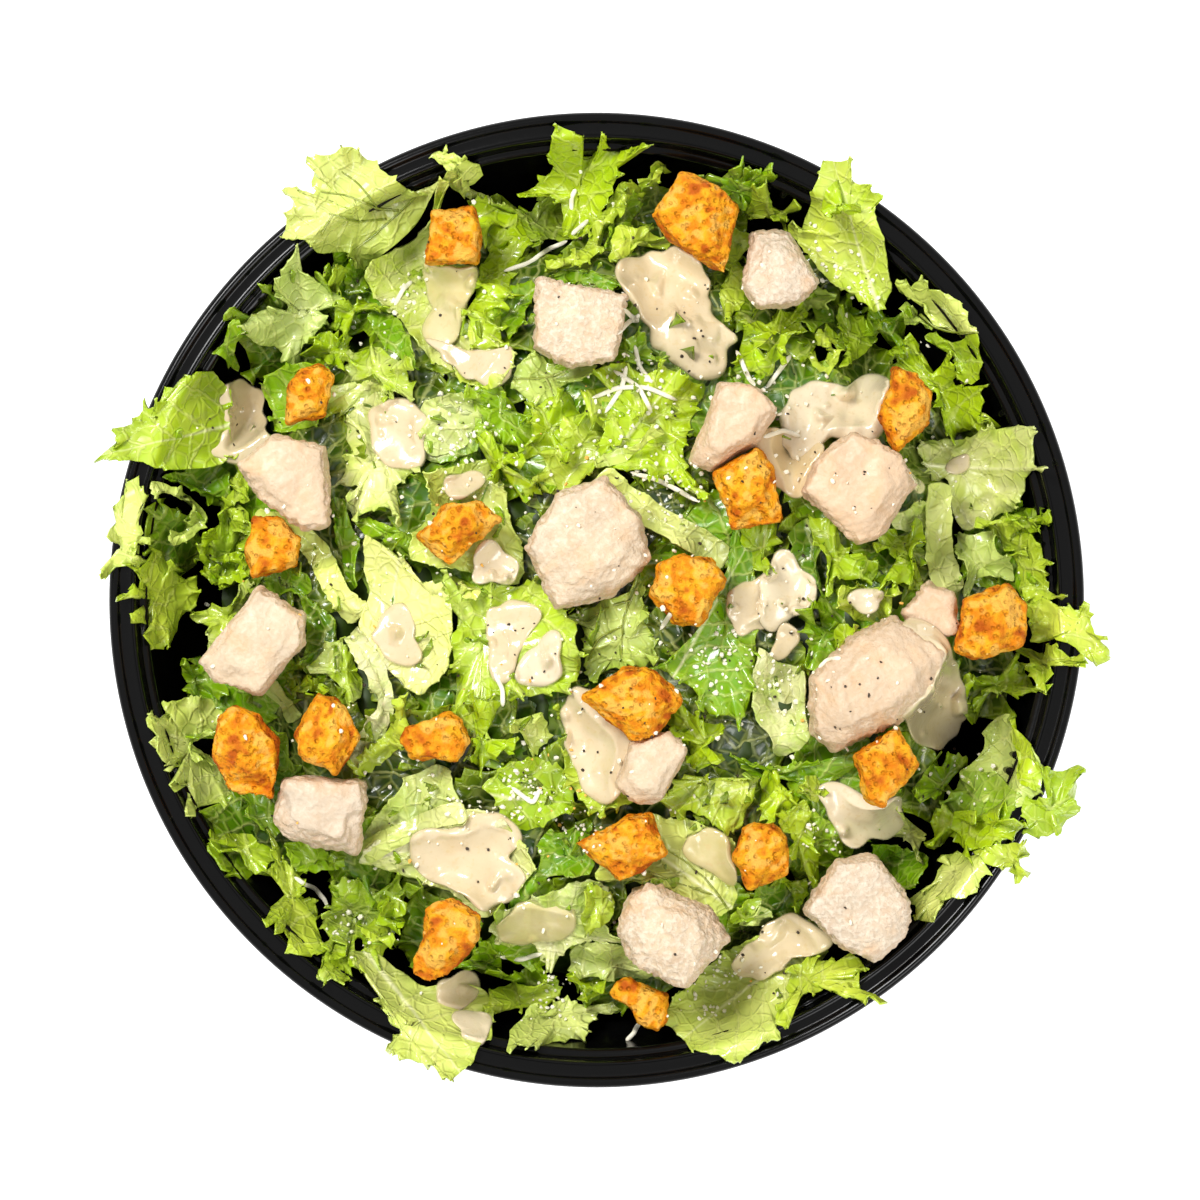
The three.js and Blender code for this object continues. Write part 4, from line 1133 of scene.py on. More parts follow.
# Front right: a tall smooth leaf, frills over the rim and a long pale leaf
leaf(
    GREY,
    [(98.3, -26.5, 0), (100, -30, 0.2), (103, -35, 0.2), (105.5, -41), (104, -46), (101, -48), (97, -49),
     (92, -48), (88, -45), (86, -42), (88.5, -38), (91, -34), (90.5, -31.5, 0.2), (94, -28.5, 0)],
    frill=0.3, rib=(98, -27, 96, -48), fold=0.3, lift=1.0,
)
leaf(BRIGHT, [(98.5, -27), (100.5, -31), (103, -35), (105.5, -41), (104, -45), (100, -44), (98.5, -36)],
     frill=0.2, lift=0.8)
leaf(
    FRESH,
    [(104, -39.5), (109, -39.5), (112, -38), (113.8, -39.5), (113.5, -42.5), (114.3, -45), (113, -47),
     (113.5, -49.5), (111.5, -51.5), (107, -55), (103, -56), (101, -54.5), (98.5, -49), (99.5, -46.5),
     (103, -46.5), (105.5, -44.5)],
    frill=0.5, lift=2.0, stiff=8, hub=(107, -50),
)
leaf(
    MID,
    [(86, -45), (88, -41), (91, -40), (95, -41), (99, -45), (98.5, -50), (97, -53), (92, -52), (86, -52),
     (83, -51), (82, -48)],
    frill=0.35, curl=2.0, lift=1.0, milk=0.1,
)
leaf(MID, [(77, -42), (79, -40), (82, -38.5), (84, -36), (88, -38), (86, -42), (84, -45), (79, -49),
           (77, -44.5)],
     frill=0.7, lift=1.0)
leaf(GREEN, [(65, -58), (68, -56.5), (74.5, -59), (79, -60), (80, -62), (75, -69), (72, -68), (66, -62)],
     frill=0.3)
leaf(SHADE_GREEN, [(38, -66), (47, -67), (49, -74), (44, -77), (36, -76)], frill=0.4)
leaf(
    LIME,
    [(90.5, -59.5), (93, -58), (97, -56.5), (100, -56.5), (102.7, -60.5), (100.5, -61.5), (101.7, -63.7),
     (100, -66), (98.3, -67), (97.5, -64.5), (95.5, -63.5), (90.5, -62)],
    frill=0.5, lift=2.0,
)
leaf(
    PALE,
    [(80, -63), (82.5, -60.5), (85, -60), (91, -61), (93, -63.5), (90, -66), (89, -69), (85, -71),
     (82.5, -72), (80.5, -71.5), (79.5, -75.5), (77.5, -76.7), (74.5, -72.5), (73, -71), (76, -70.5),
     (78, -67)],
    frill=0.5, lift=1.5, rib=(88, -62, 76, -74), fold=-0.3,
)
leaf(
    BRIGHT,
    [(78.5, -50.5), (82, -49.5), (85, -51), (88, -52), (88, -55), (92, -55.5), (94, -52), (97, -53),
     (101, -53), (101, -56), (94, -57.5), (89.5, -60), (85.5, -58.5), (84, -57), (82, -59), (79, -56.5)],
    frill=0.9, lift=2.0,
)
leaf(PALE, [(71, -49), (74, -51), (78, -54), (78.5, -57), (77, -63), (74.5, -57.5), (70, -56.5), (68, -52)],
     frill=0.4, milk=0.3)
leaf(BRIGHT, [(38, -41), (41, -40), (44, -41.5), (47, -47), (48.5, -48), (42, -52), (38.5, -48.5)], frill=0.7)
leaf(LIME, [(48, -44), (51, -41), (53, -43.5), (53, -47), (51.5, -49), (49, -47)], frill=0.7)
leaf(MID, [(50, -50), (54, -50.5), (57.5, -52), (59, -55), (60, -60.5), (53, -64), (51, -57)], frill=0.4,
     lift=1.0)
leaf(
    BRIGHT,
    [(43, -50.5), (46, -49), (49, -48), (51, -52), (52, -57), (54, -62), (51, -67.5), (49.5, -65),
     (47.5, -62), (45.5, -58), (43.5, -54)],
    frill=0.6, lift=2.0, rib=(47, -50, 51, -66), fold=0.2,
)
leaf(FRESH, [(42.5, -65), (46, -65), (49, -65), (50, -68), (47.5, -72.5), (44.5, -69)], frill=0.7)
leaf(MILKY, [(39.5, -72.5), (42, -74), (40, -77), (36, -78), (34, -75)], frill=0.3)
leaf(FRESH, [(31, -75), (36, -71), (40, -72), (38, -75), (33, -78)], frill=0.3)
leaf(
    PALE,
    [(16, -98), (18, -93.5), (22, -91), (26, -87), (30, -84), (35, -81), (38, -79.5), (43, -77), (50, -76),
     (54, -79), (55, -84), (50, -92, 0.2), (44, -98), (42.5, -100.5), (43.2, -103.3), (40, -104.5),
     (38, -107), (33, -109.3), (28, -107.5), (23, -106), (20, -104), (17, -101)],
    frill=0.35, lift=2.0, stiff=8, rib=(50, -82, 22, -103), rib_wide=1.6, curl=1.6, fold=0.12, blister=0.4,
)
leaf(
    LIME,
    [(44.5, -93), (45, -87.5), (48, -85.5), (51, -83.5), (53, -85.5), (58.5, -85), (61, -83.7), (63.2, -87.5),
     (61.5, -88.5), (63.5, -89), (63.3, -91), (67, -92.5), (65.5, -93.7), (60, -93.7), (55, -92.7),
     (51, -93), (46.5, -98), (44.5, -101), (42, -99)],
    frill=0.5, lift=2.5, stiff=7, rib=(45, -99, 56, -88), fold=0.2, hub=(50, -90),
)
end_patch()
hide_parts("lettuce_heap")
# ---------------------------------------------------------------- chicken
# Diced chicken breast, roasted, cut into dice with square cut sides and soft worn edges.
# The meat's fibres run one way through each piece, and the outside is a little browner.


def swell(p, wave, seed, count=14):
    """Sum of sines in random directions in space with wavelengths near wave, about -1 to 1."""
    dice = np.random.default_rng(seed)
    way = dice.normal(0, 1, (count, 3))
    way /= np.linalg.norm(way, axis=1)[:, None]
    rate = 2 * np.pi / (wave * dice.uniform(0.6, 1.5, count))
    return np.sin(p @ (way * rate[:, None]).T + dice.uniform(0, 6.3, count)).sum(1) * math.sqrt(
        2 / count
    )


def chunk_surface(node, cell, soften):
    """The node's solid as an even mesh: points, outward normals, bulge and faces, in mm."""
    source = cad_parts[node]
    mesh = source.data.copy()
    rough = bpy.data.objects.new("chunk", mesh)
    rough.matrix_world = source.matrix_world
    bpy.context.scene.collection.objects.link(rough)
    rough.modifiers.new("join", "WELD").merge_threshold = 0.01 * MM
    even = rough.modifiers.new("even", "REMESH")
    even.mode, even.voxel_size = "VOXEL", cell * MM
    worn = rough.modifiers.new("worn", "SMOOTH")
    worn.factor, worn.iterations = 0.5, soften
    found = []
    for rounds in (soften, soften * 5):
        worn.iterations = rounds
        bpy.context.view_layer.update()
        shaped = rough.evaluated_get(bpy.context.evaluated_depsgraph_get()).to_mesh()
        points = np.empty(len(shaped.vertices) * 3, dtype=np.float32)
        shaped.vertices.foreach_get("co", points)
        normals = np.empty_like(points)
        shaped.vertices.foreach_get("normal", normals)
        found.append((points.reshape(-1, 3) / MM, normals.reshape(-1, 3)))
        faces = [tuple(face.vertices) for face in shaped.polygons]
    bpy.data.objects.remove(rough, do_unlink=True)
    (points, normals), (round_points, _) = found
    bulge = ((points - round_points) * normals).sum(1)
    return points.astype(float), normals.astype(float), bulge, faces


chicken_finish = Finish("chicken", Roughness=0.5, Coat_Weight=0.15, Coat_Roughness=0.3)
meat_place = chicken_finish.places()
meat_tint = chicken_finish.channel("tint", out=0)
side_shade_share = chicken_finish.channel("side")
patchy = chicken_finish.noise(120.0, meat_place, detail=4.0).ramp(0.35, 0.7)
speckle = chicken_finish.noise(420.0, meat_place, detail=4.0).ramp(0.4, 0.7)
threads = chicken_finish.noise(900.0, meat_place, detail=3.0).ramp(0.36, 0.66)
coarse = chicken_finish.channel("coarse")
# Faces turned away from straight up are mixed half way to a darker tan: painted shade on the sides.
meat = chicken_finish.mix(side_shade_share * 0.5, meat_tint, srgb(204, 166, 124))
meat = chicken_finish.mix(patchy * 0.3, meat, srgb(230, 198, 160))
meat = chicken_finish.mix(speckle * coarse * 0.26, meat, srgb(180, 134, 94))
meat = chicken_finish.mix(threads * coarse * 0.5, meat, srgb(240, 226, 204))
browned = chicken_finish.channel("browned")
meat = chicken_finish.mix(browned * patchy * 0.3, meat, srgb(216, 160, 96))
chicken_finish.set(Base_Color=meat)
chicken_finish.bump(speckle * 0.4 + patchy * 0.2 + threads * coarse * 1.2, 0.45, 0.0006)

CHICKEN_TINTS = [(224, 200, 166), (219, 199, 172), (230, 196, 158), (226, 196, 160), (224, 200, 166)]
COARSE = (1.0, 1.0, 0.35, 0.3, 0.35, 0.6, 0.45, 0.25, 0.35, 0.4, 1.0, 1.0, 0.3)
chunk_skins = []
for i, node in enumerate(name for name in CHUNK_NODES if name.startswith("chicken_")):
    points, normals, _, faces = chunk_surface(node, 0.6, 2)
    dice = np.random.default_rng(400 + i)
    grain_way = dice.uniform(0, np.pi)
    run = np.array([math.cos(grain_way), math.sin(grain_way), 0.25])
    squeezed = points - 0.78 * np.outer(points @ run, run)
    fibre = swell(squeezed, 2.2, 500 + i)
    # Faces turned away from straight up: the shader paints them darker as shade, and coarser in texture.
    side = 1 - step(normals[:, 2], 0.35, 0.8)
    lump = 0.18 * swell(points, 9.0, 600 + i) + 0.1 * swell(points, 4.5, 620 + i)
    grooves = -0.15 * step(-swell(squeezed, 3.5, 640 + i), 0.7, 1.5)
    shreddy = 0.16 * COARSE[i] * np.abs(swell(points, 2.4, 690 + i))
    points = points + normals * (lump + (0.06 + 0.14 * side) * fibre + grooves + shreddy)[:, None]
    tone = np.array(srgb(*CHICKEN_TINTS[i % 5])) * (0.84 + 0.08 * COARSE[i])
    tone = tone * (1 + 0.05 * swell(points, 12.0, 660 + i))[:, None]
    made = piece(
        f"{node}_meat",
        points,
        faces,
        chicken_finish,
        channels={
            "tint": tone,
            "side": side,
            "coarse": np.clip(COARSE[i] + 0.4 * side, 0, 1),
            "browned": step(swell(points, 8, 680 + i), 0.5, 1.4),
        },
    )
    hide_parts(node)
    chunk_skins.append(points)

# ---------------------------------------------------------------- croutons
# Bread cubes, oiled and toasted: golden and crisp all over, brown along the edges, with open
# crumb showing as pits and pale patches where the toasting stopped short. The sides, the
# undersides and the pits are painted browner as shade.
crouton_finish = Finish("toasted bread", Roughness=0.62, Specular_IOR_Level=0.2)
bread_place = crouton_finish.places()
toast_and_shade = crouton_finish.channel("toast_and_shade")
crumb_fine = crouton_finish.noise(900.0, bread_place, detail=3.0)
crumb = crouton_finish.noise(330.0, bread_place, detail=5.0, rough=0.62)
pits = crouton_finish.node("ShaderNodeTexVoronoi", {}, Vector=bread_place, Scale=620.0)
hollow = 1 - pits.ramp(0.1, 0.45)
bread = crouton_finish.mix(crumb.ramp(0.35, 0.65), srgb(226, 130, 6), srgb(244, 172, 26))
bread = crouton_finish.mix(toast_and_shade.ramp(0.35, 1.0), bread, srgb(186, 88, 4))
bread = crouton_finish.mix((1 - toast_and_shade).ramp(0.72, 1.0) * 0.6, bread, srgb(242, 192, 88))
# The pits are darkened towards brown: painted shade in the crumb's hollows.
bread = crouton_finish.mix(hollow * 0.2, bread, srgb(190, 92, 8))
crouton_finish.set(Base_Color=bread)
crouton_finish.bump(crumb * 1.2 - hollow * 0.8 + crumb_fine * 0.9, 0.85, 0.001)

for i, node in enumerate(name for name in CHUNK_NODES if name.startswith("crouton_")):
    points, normals, bulge, faces = chunk_surface(node, 0.6, 3)
    lump = 0.28 * swell(points, 7.0, 700 + i) + 0.1 * swell(points, 2.8, 730 + i)
    crumbly = np.abs(swell(points, 1.8, 760 + i)) * 0.12
    caves = -0.35 * step(swell(points, 3.4, 790 + i), 1.1, 1.6)
    points = points + normals * (lump - crumbly + caves + 0.05)[:, None]
    patches = swell(points, 9.0, 820 + i)
    toasted = 0.28 + 0.55 * step(bulge, 0.1, 0.8) + 0.22 * patches + 0.2 * swell(points, 3, 850 + i)
    # Faces turned away from straight up are browned further: painted shade on the sides and undersides. The
    # edge and patch browning above is real toasting.
    toasted += 0.25 * (1 - step(normals[:, 2], -0.2, 0.6))
    made = piece(
        f"{node}_bread",
        points,
        faces,
        crouton_finish,
        channels={"toast_and_shade": np.clip(toasted, 0, 1.2)},
    )
    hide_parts(node)
    chunk_skins.append(points)

# ---------------------------------------------------------------- dressing
# Creamy dressing, spooned over at the end: thick where it pools, thinning to a film, and
# running down over leaves and chunks alike. Each pool lies on whatever is under it.
height += 0.4
for skin in chunk_skins:
    upper = skin[skin[:, 2] > 50]
    raise_map(upper[:, 0], upper[:, 1], upper[:, 2])
settled = softened(height, 0.6)

dressing_finish = Finish(
    "creamy dressing", Roughness=0.2, Coat_Weight=0.8, Coat_Roughness=0.08
)
pool_place = dressing_finish.places()
pool_tint = dressing_finish.channel("tint", out=0)
pool_film = dressing_finish.channel("film")
clouds = dressing_finish.noise(150.0, pool_place, detail=4.0)
cream = dressing_finish.mix(clouds.ramp(0.35, 0.7) * 0.35, pool_tint, srgb(240, 224, 190))
grit = dressing_finish.noise(800.0, pool_place, detail=3.0)
cream = dressing_finish.mix(grit.ramp(0.56, 0.68) * 0.3, cream, srgb(214, 186, 128))
dressing_finish.set(Base_Color=cream, Alpha=(pool_film + clouds * 0.5 - 0.25).ramp(0.02, 0.5))
dressing_finish.bump(clouds + grit * 0.35, 0.3, 0.0006)

# How far a pool creeps up a chunk beside it, above its median level, in mm.
POOL_CLIMB = 3.0
pools = {"points": [], "faces": [], "tint": [], "film": []}


def pool(tint, outline, deep=1.4, seed=0, reach=2.8, thin=0.0):
    """Dressing inside a rounded outline: its edge is a quarter round, its top level over hollows.

    It rises at most POOL_CLIMB above the median height of what it lies on.
    """
    edge, length = closed_curve(outline, 0.7)
    count = len(edge)
    for _ in range(14):
        edge = (np.roll(edge, 1, 0) + 2 * edge + np.roll(edge, -1, 0)) / 4
    dice = np.random.default_rng(900 + seed)
    middle = edge[:, :2].mean(0)
    turn = 2 * np.pi * np.arange(count) / count
    away = edge[:, :2] - middle
    push = ruffle(turn, length / 22, dice)[0] * 0.9 + ruffle(turn, length / 9, dice)[0] * 0.3
    away *= (1 + push / np.maximum(6, np.hypot(*away.T)))[:, None]
    rho = np.linspace(0, 1, 26)[1:]
    x = middle[0] + rho[:, None] * away[:, 0]
    y = middle[1] + rho[:, None] * away[:, 1]
    depth = (1 - rho[:, None]) * np.hypot(*away.T)
    ground = np.maximum(sampled(settled, x, y), sampled(softened(height, reach), x, y))
    ground = np.minimum(ground, np.median(ground) + POOL_CLIMB)
    body = np.clip(depth / 3.0, 0, 1)
    body = np.sqrt(1 - (1 - body) ** 2)
    uneven = 0.45 * ripple(x, y, 13, 910 + seed) + 0.2 * ripple(x, y, 5.5, 930 + seed)
    z = ground + 0.4 + body * (deep * (0.7 + 0.5 * uneven)) - 0.7 * np.exp(-depth / 0.4)
    start = sum(len(part) for part in pools["points"])
    hub = start + x.size
    pools["faces"] += [face[::-1] for face in grid_faces(len(rho), count, start=start)]
    j = np.arange(count)
    pools["faces"] += np.column_stack([np.full(count, hub), start + j, start + (j + 1) % count]).tolist()
    top = [[middle[0], middle[1], z[0].mean()]]
    pools["points"].append(np.vstack([np.stack([x, y, z], -1).reshape(-1, 3), top]))
    film = np.clip(depth / 1.3, 0, 1) * (1 - thin) + thin * 0.25
    pools["film"].append(np.append(film.ravel(), 1 - 0.75 * thin))
    pools["tint"].append(np.tile(tint, (x.size + 1, 1)))
    raise_map(x, y, z)


IVORY, WHITE, GREENISH = srgb(220, 200, 160), srgb(229, 213, 180), srgb(208, 196, 132)
TAN = srgb(216, 192, 142)
pool(IVORY, [(-95, 46), (-92, 51), (-88, 50), (-86, 55), (-80, 50), (-77, 40), (-76, 36), (-84, 31.5),
             (-91, 33.5), (-95, 40)], 1.0, 1, thin=0.15)
pool(IVORY, [(5, 78), (6, 81), (9, 83), (16, 83.5), (24, 79), (28, 77), (29, 73), (27, 70), (28, 66),
             (33, 63),
             (33, 60), (30, 53), (26, 52.5), (20, 53.5), (16, 57), (11, 64), (7, 71)], 2.0, 2)
pool(GREENISH, [(-42, 62), (-40, 72), (-40, 79), (-28, 78.5), (-30, 70), (-33, 61)], 1.0, 3, thin=0.3)
pool(IVORY, [(-42, 62), (-36, 61), (-30, 60), (-25, 58.5), (-20, 60), (-18.5, 58), (-22, 51.5), (-27, 50),
             (-31, 53), (-36, 56)], 1.4, 4)
pool(IVORY, [(-56, 44), (-50, 47), (-43, 46), (-40, 40), (-42, 31), (-52, 33)], 0.9, 5, thin=0.2)
pool(IVORY, [(-42, -15), (-41, -8), (-44, -2), (-50, -3), (-54, -9), (-50, -14)], 0.8, 24, thin=0.35)
pool(WHITE, [(-31, 10), (-24, 13), (-18, 8), (-21, 3), (-29, 4)], 1.2, 6)
pool(IVORY, [(-36, 29), (-30, 31), (-26, 27), (-30, 23), (-35, 24)], 1.2, 7)
pool(IVORY, [(-25.5, -1), (-22, 2), (-19, 1), (-13, -3), (-17, -10), (-19, -15), (-24, -20), (-27, -9)],
     1.5, 8)
pool(WHITE, [(-15.5, -9), (-11, -6), (-8.5, -7), (-7.5, -16), (-8, -18.5), (-17, -20.5), (-18.5, -18)], 2.4,
     9)
pool(IVORY, [(-7, -24), (2, -21), (9, -28), (10, -38), (6, -45), (-2, -47), (-8, -36)], 1.2, 10, thin=0.1)
pool(IVORY, [(-42, -55), (-34, -53), (-28, -48), (-21, -50.5), (-18, -57), (-21, -60), (-15, -65), (-20, -69),
             (-27, -74), (-34, -69), (-42, -66)], 1.4, 11)
pool(GREENISH, [(-26, -78), (-16, -71), (-6, -69), (-5, -78), (-12, -80), (-20, -83)], 0.9, 12, thin=0.4)
pool(IVORY, [(31, -91), (33, -84), (37.8, -79.7), (43.3, -75.4), (47.7, -74.3), (49.8, -77), (53.1, -78.1),
             (54.7, -83), (50.9, -84.7), (46, -86.3), (43.8, -89), (37.8, -90.7)], 1.8, 13)
pool(GREENISH, [(20, -55), (23, -53.5), (28, -54), (31, -57), (34, -67), (29, -67), (24, -63)], 1.3, 14,
     thin=0.15)
pool(WHITE, [(52, -46), (57, -43.5), (63, -45), (68, -47), (74, -46.5), (75.5, -51), (72, -55.5),
             (66, -58), (61, -59.5), (57, -54)], 1.4, 15)
pool(IVORY, [(30, 3), (36, 6), (41, 6.7), (42, 0), (40, -8), (32, -7)], 1.4, 16)
pool(WHITE, [(39, 5), (42, 11), (45, 12.5), (48, 8), (52, 3), (52.5, -2), (48, -5.5), (43, -8), (39, -6)],
     1.5, 17)
pool(IVORY, [(43.3, -5.4), (46, -5.5), (48.5, -9), (46.5, -13.5), (42.5, -13.8), (40, -12)], 1.3, 25)
pool(TAN, [(38, 38), (46, 41), (54, 34), (50, 25), (40, 27)], 1.0, 18)
pool(WHITE, [(45, 48), (48.2, 51), (51.5, 50.7), (57, 51.8), (59.7, 52.4), (64, 54.6), (67.3, 52.9),
             (70, 49.7),
             (68.4, 45.8), (67, 40), (62, 37), (56, 37), (50, 34), (45, 32), (43, 39)], 2.0, 19)
pool(IVORY, [(70, -8), (76, -5), (84, -10), (87.3, -17.9), (87, -26), (88.5, -31), (86, -35), (82, -36),
             (78, -35), (73, -31), (69, -20)], 1.5, 20)
pool(WHITE, [(58, -1), (60, 2), (64, 3.4), (68, 2.3), (69, -1), (64, -2.8), (60, -3)], 2.2, 21)
pool(IVORY, [(-40, -92), (-35, -88), (-31, -88), (-28, -92), (-30, -97), (-36, -97)], 1.0, 22, thin=0.15)
pool(WHITE, [(-35.5, -99), (-33, -97.5), (-28, -97), (-25, -100), (-28, -107), (-33, -103)], 1.3, 23)
pool(IVORY, [(81.5, 29), (83.5, 33), (88, 36), (90, 33), (86, 30)], 0.9, 26)
pool(WHITE, [(72.8, 31.5), (76, 29.5), (79, 26), (76.5, 25), (72, 27)], 1.4, 27)
piece(
    "dressing",
    np.vstack(pools["points"]),
    pools["faces"],
    dressing_finish,
    channels={"tint": np.vstack(pools["tint"]), "film": np.concatenate(pools["film"])},
)

# ---------------------------------------------------------------- cheese, crumbs and pepper
# Parmesan in thin curled shreds and small crumbs, bread crumbs off the croutons, and
# cracked black pepper, all dropped on last.
cheese_finish = Finish("hard cheese", Base_Color=srgb(250, 244, 222), Roughness=0.4)
crumb_finish = Finish("bread crumb", Base_Color=srgb(244, 186, 84), Roughness=0.7)
pepper_finish = Finish("black pepper", Base_Color=srgb(58, 44, 30), Roughness=0.6)
settled = softened(height, 0.7)

shred_points, shred_faces = [], []


def shred(path, wide=1.15, thick=0.6):
    """A strip of cheese: a flat oval carried along a smooth path that lies on the salad."""
    path = np.array(path, dtype=float)
    t = np.linspace(0, len(path) - 1, 4 + 7 * (len(path) - 1))
    line = np.column_stack([np.interp(t, np.arange(len(path)), path[:, k]) for k in (0, 1)])
    for _ in range(3):
        line[1:-1] = (line[:-2] + 2 * line[1:-1] + line[2:]) / 4
    run = np.gradient(line, axis=0)
    run /= np.hypot(*run.T)[:, None]
    side = np.column_stack([-run[:, 1], run[:, 0]])
    around = np.linspace(0, 2 * np.pi, 8, endpoint=False)
    taper = np.sqrt(np.clip(1 - np.linspace(-1, 1, len(line)) ** 8, 0.05, 1))[:, None]
    out = 0.5 * wide * taper * np.cos(around)
    x = line[:, :1] + side[:, :1] * out
    y = line[:, 1:] + side[:, 1:] * out
    rest = sampled(settled, line[:, 0], line[:, 1])
    z = rest[:, None] + 0.45 * thick + 0.5 * thick * taper * np.sin(around)
    start = sum(len(part) for part in shred_points)
    faces = grid_faces(len(line), 8, start=start)
    last = start + (len(line) - 1) * 8
    faces += [[start + k for k in range(8)][::-1], [last + k for k in range(8)]]
    shred_faces.extend(faces)
    shred_points.append(np.stack([x, y, z], -1).reshape(-1, 3))


for path in (
    [(-22, 78), (-16, 80), (-11, 84), (-7, 85.5)],
    [(-6, 93), (-6, 96), (-5, 98)],
    [(-6, 87), (-2, 90.5)],
    [(9, 60), (10, 55), (13, 51)],
    [(-1, 47.5), (5, 50), (12, 50), (19, 47)],
    [(5, 62), (8, 66), (10, 66), (6, 68)],
    [(2, 44), (6, 50), (7, 55)],
    [(4, 54), (10, 50), (13, 44)],
    [(33, 59), (35, 54), (37, 50)],
    [(46, 58), (43, 54), (40, 50)],
    [(39, 38), (44, 40), (48, 38.5)],
    [(8, 30), (15, 28), (24, 23)],
    [(15, -7), (18, -2), (23.5, -2)],
    [(52, -16), (54, -14), (57, -13.5)],
    [(-24, -17), (-22, -21), (-22, -25)],
    [(-23, -85), (-18, -86), (-13, -84)],
    [(-72, -66), (-68, -69), (-64, -73)],
    [(7, -105), (9, -103), (10, -100)],
    [(-48, 70), (-46, 74), (-44, 76)],
    [(-20, -44), (-15, -48), (-13, -44)],
):
    shred(path)
piece("cheese_shreds", np.vstack(shred_points), shred_faces, cheese_finish)


def scattered(name, finish, places, small, large, seed, lift=0.35):
    """Twenty-faced grains of random size, squash and turn, each resting at its place."""
    dice = np.random.default_rng(seed)
    g = (1 + math.sqrt(5)) / 2
    base = [(-1, g, 0), (1, g, 0), (-1, -g, 0), (1, -g, 0), (0, -1, g), (0, 1, g)]
    base += [(0, -1, -g), (0, 1, -g), (g, 0, -1), (g, 0, 1), (-g, 0, -1), (-g, 0, 1)]
    sides = [(0, 11, 5), (0, 5, 1), (0, 1, 7), (0, 7, 10), (0, 10, 11), (1, 5, 9), (5, 11, 4)]
    sides += [(11, 10, 2), (10, 7, 6), (7, 1, 8), (3, 9, 4), (3, 4, 2), (3, 2, 6), (3, 6, 8)]
    sides += [(3, 8, 9), (4, 9, 5), (2, 4, 11), (6, 2, 10), (8, 6, 7), (9, 8, 1)]
    base = np.array(base) / math.hypot(1, g)
    count = len(places)
    size = dice.uniform(small, large, count)[:, None, None]
    shape = base * (size * dice.uniform(0.55, 1.3, (count, 1, 3)))
    shape = shape * dice.uniform(0.75, 1.2, (count, 12, 1))
    turn = dice.uniform(0, 2 * np.pi, (count, 1))
    x = shape[:, :, 0] * np.cos(turn) - shape[:, :, 1] * np.sin(turn) + places[:, :1]
    y = shape[:, :, 0] * np.sin(turn) + shape[:, :, 1] * np.cos(turn) + places[:, 1:2]
    z = shape[:, :, 2] + places[:, 2:3] + lift * size[:, :, 0]
    faces = (np.array(sides)[None] + 12 * np.arange(count)[:, None, None]).reshape(-1, 3)
    points = np.stack([x, y, z], -1).reshape(-1, 3)
    return piece(name, points, faces.tolist(), finish, smooth=False)


def near(dice, spots):
    """Places on top of the salad: for each (x, y, spread, count), a Gaussian cloud."""
    flat = np.vstack([dice.normal(0, s, (n, 2)) + (x, y) for x, y, s, n in spots])
    flat = flat[np.hypot(*flat.T) < 103]
    return np.column_stack([flat, sampled(settled, flat[:, 0], flat[:, 1])])


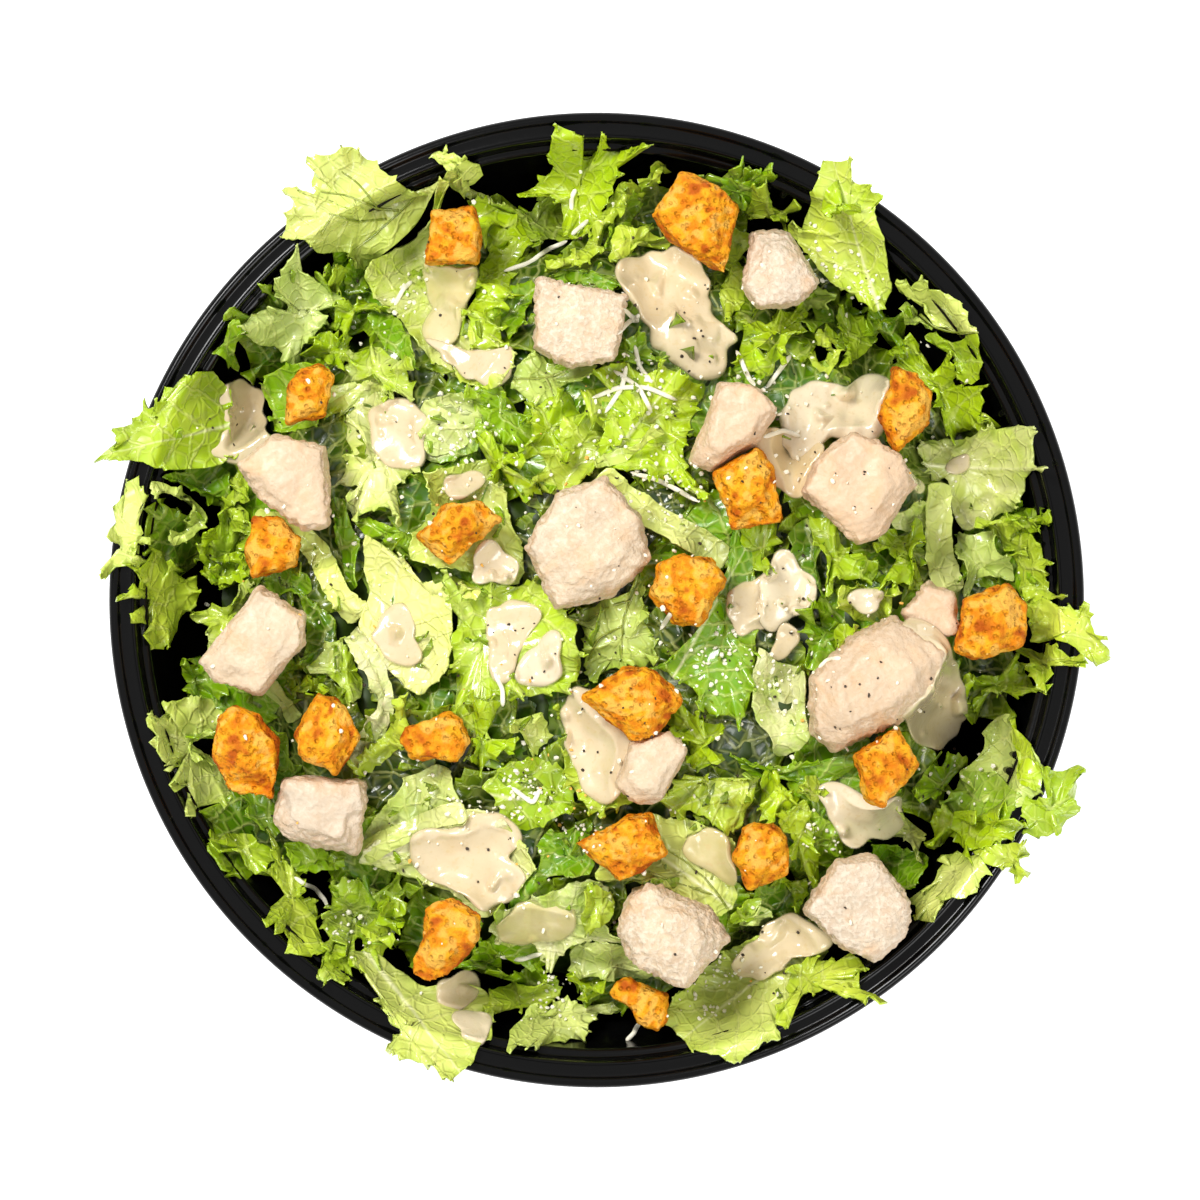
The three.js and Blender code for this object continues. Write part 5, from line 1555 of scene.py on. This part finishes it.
drop_dice = np.random.default_rng(77)
all_over = [(0, 0, 52, 420)]
cheese_spots = [(-17, -45, 4, 60), (-3, -54, 3, 24), (31, -89, 4, 40), (27, -98, 3, 30)]
cheese_spots += [(-46, 73, 3, 24), (-34, 40, 5, 40), (8, 50, 6, 60), (40, 50, 6, 20), (-35, -50, 6, 24)]
cheese_spots += [(16, 26, 5, 50), (56, 82, 4, 24), (64, 74, 3, 24), (30, -14, 5, 40), (47, -20, 5, 36)]
cheese_spots += [(91, -44, 4, 24), (54, -57, 3, 20), (110, -6, 3, 24), (-10, -97, 5, 40), (-60, -80, 4, 24)]
scattered("cheese_crumbs", cheese_finish, near(drop_dice, cheese_spots + all_over), 0.22, 0.7, 81)
scattered("bread_crumbs", crumb_finish, near(drop_dice, [(0, 0, 55, 40), (-10, -50, 9, 14)]),
          0.25, 0.6, 82)
pepper_spots = [(0, 0, 50, 170), (66, -20, 10, 14), (58, 38, 10, 14), (20, 66, 8, 12), (-85, 42, 6, 8)]
pepper_spots += [(-2, 13, 8, 6), (-14, -12, 6, 8), (44, -86, 6, 8), (-30, -60, 8, 8)]
scattered("pepper", pepper_finish, near(drop_dice, pepper_spots), 0.22, 0.5, 83)

# ---------------------------------------------------------------- floor, light and camera
# A plain near-white table, a bright even room, a soft lamp from the back left and a wider,
# weaker one from the front right, with the camera straight above.
floor_finish = Finish(
    "pale table", Base_Color=(0.9, 0.9, 0.9), Roughness=0.9, Emission_Color=(1, 1, 1), Emission_Strength=0.75
)
table = bpy.data.meshes.new("table")
table.from_pydata([(-3, -3, 0), (3, -3, 0), (3, 3, 0), (-3, 3, 0)], [], [(0, 1, 2, 3)])
table.materials.append(floor_finish.material)
floor = bpy.data.objects.new("table", table)
bpy.context.scene.collection.objects.link(floor)

scene = bpy.context.scene
scene.view_settings.view_transform = "Standard"
scene.world = bpy.data.worlds.new("room")
scene.world.use_nodes = True
room = scene.world.node_tree.nodes["Background"]
room.inputs["Color"].default_value = (1.0, 1.0, 1.0, 1.0)
room.inputs["Strength"].default_value = 0.56


def lamp(name, place, aim, size, watts):
    """A square soft lamp at place, facing aim."""
    light = bpy.data.lights.new(name, "AREA")
    light.size, light.energy = size, watts
    made = bpy.data.objects.new(name, light)
    made.location = place
    made.rotation_euler = (Vector(aim) - Vector(place)).to_track_quat("-Z", "Y").to_euler()
    scene.collection.objects.link(made)


lamp("soft box", (-0.5, 0.5, 1.15), (0, 0, 0.05), 0.4, 15.5)
lamp("fill panel", (0.7, -0.8, 1.2), (0, 0, 0.05), 0.7, 9.0)

camera = bpy.data.cameras.new("camera")
camera.lens, camera.sensor_width = 203.7, 36.0
camera.clip_start, camera.clip_end = 0.05, 20.0
eye = bpy.data.objects.new("camera", camera)
eye.location = (0.0008, 0.0, 1.658)
scene.collection.objects.link(eye)
scene.camera = eye
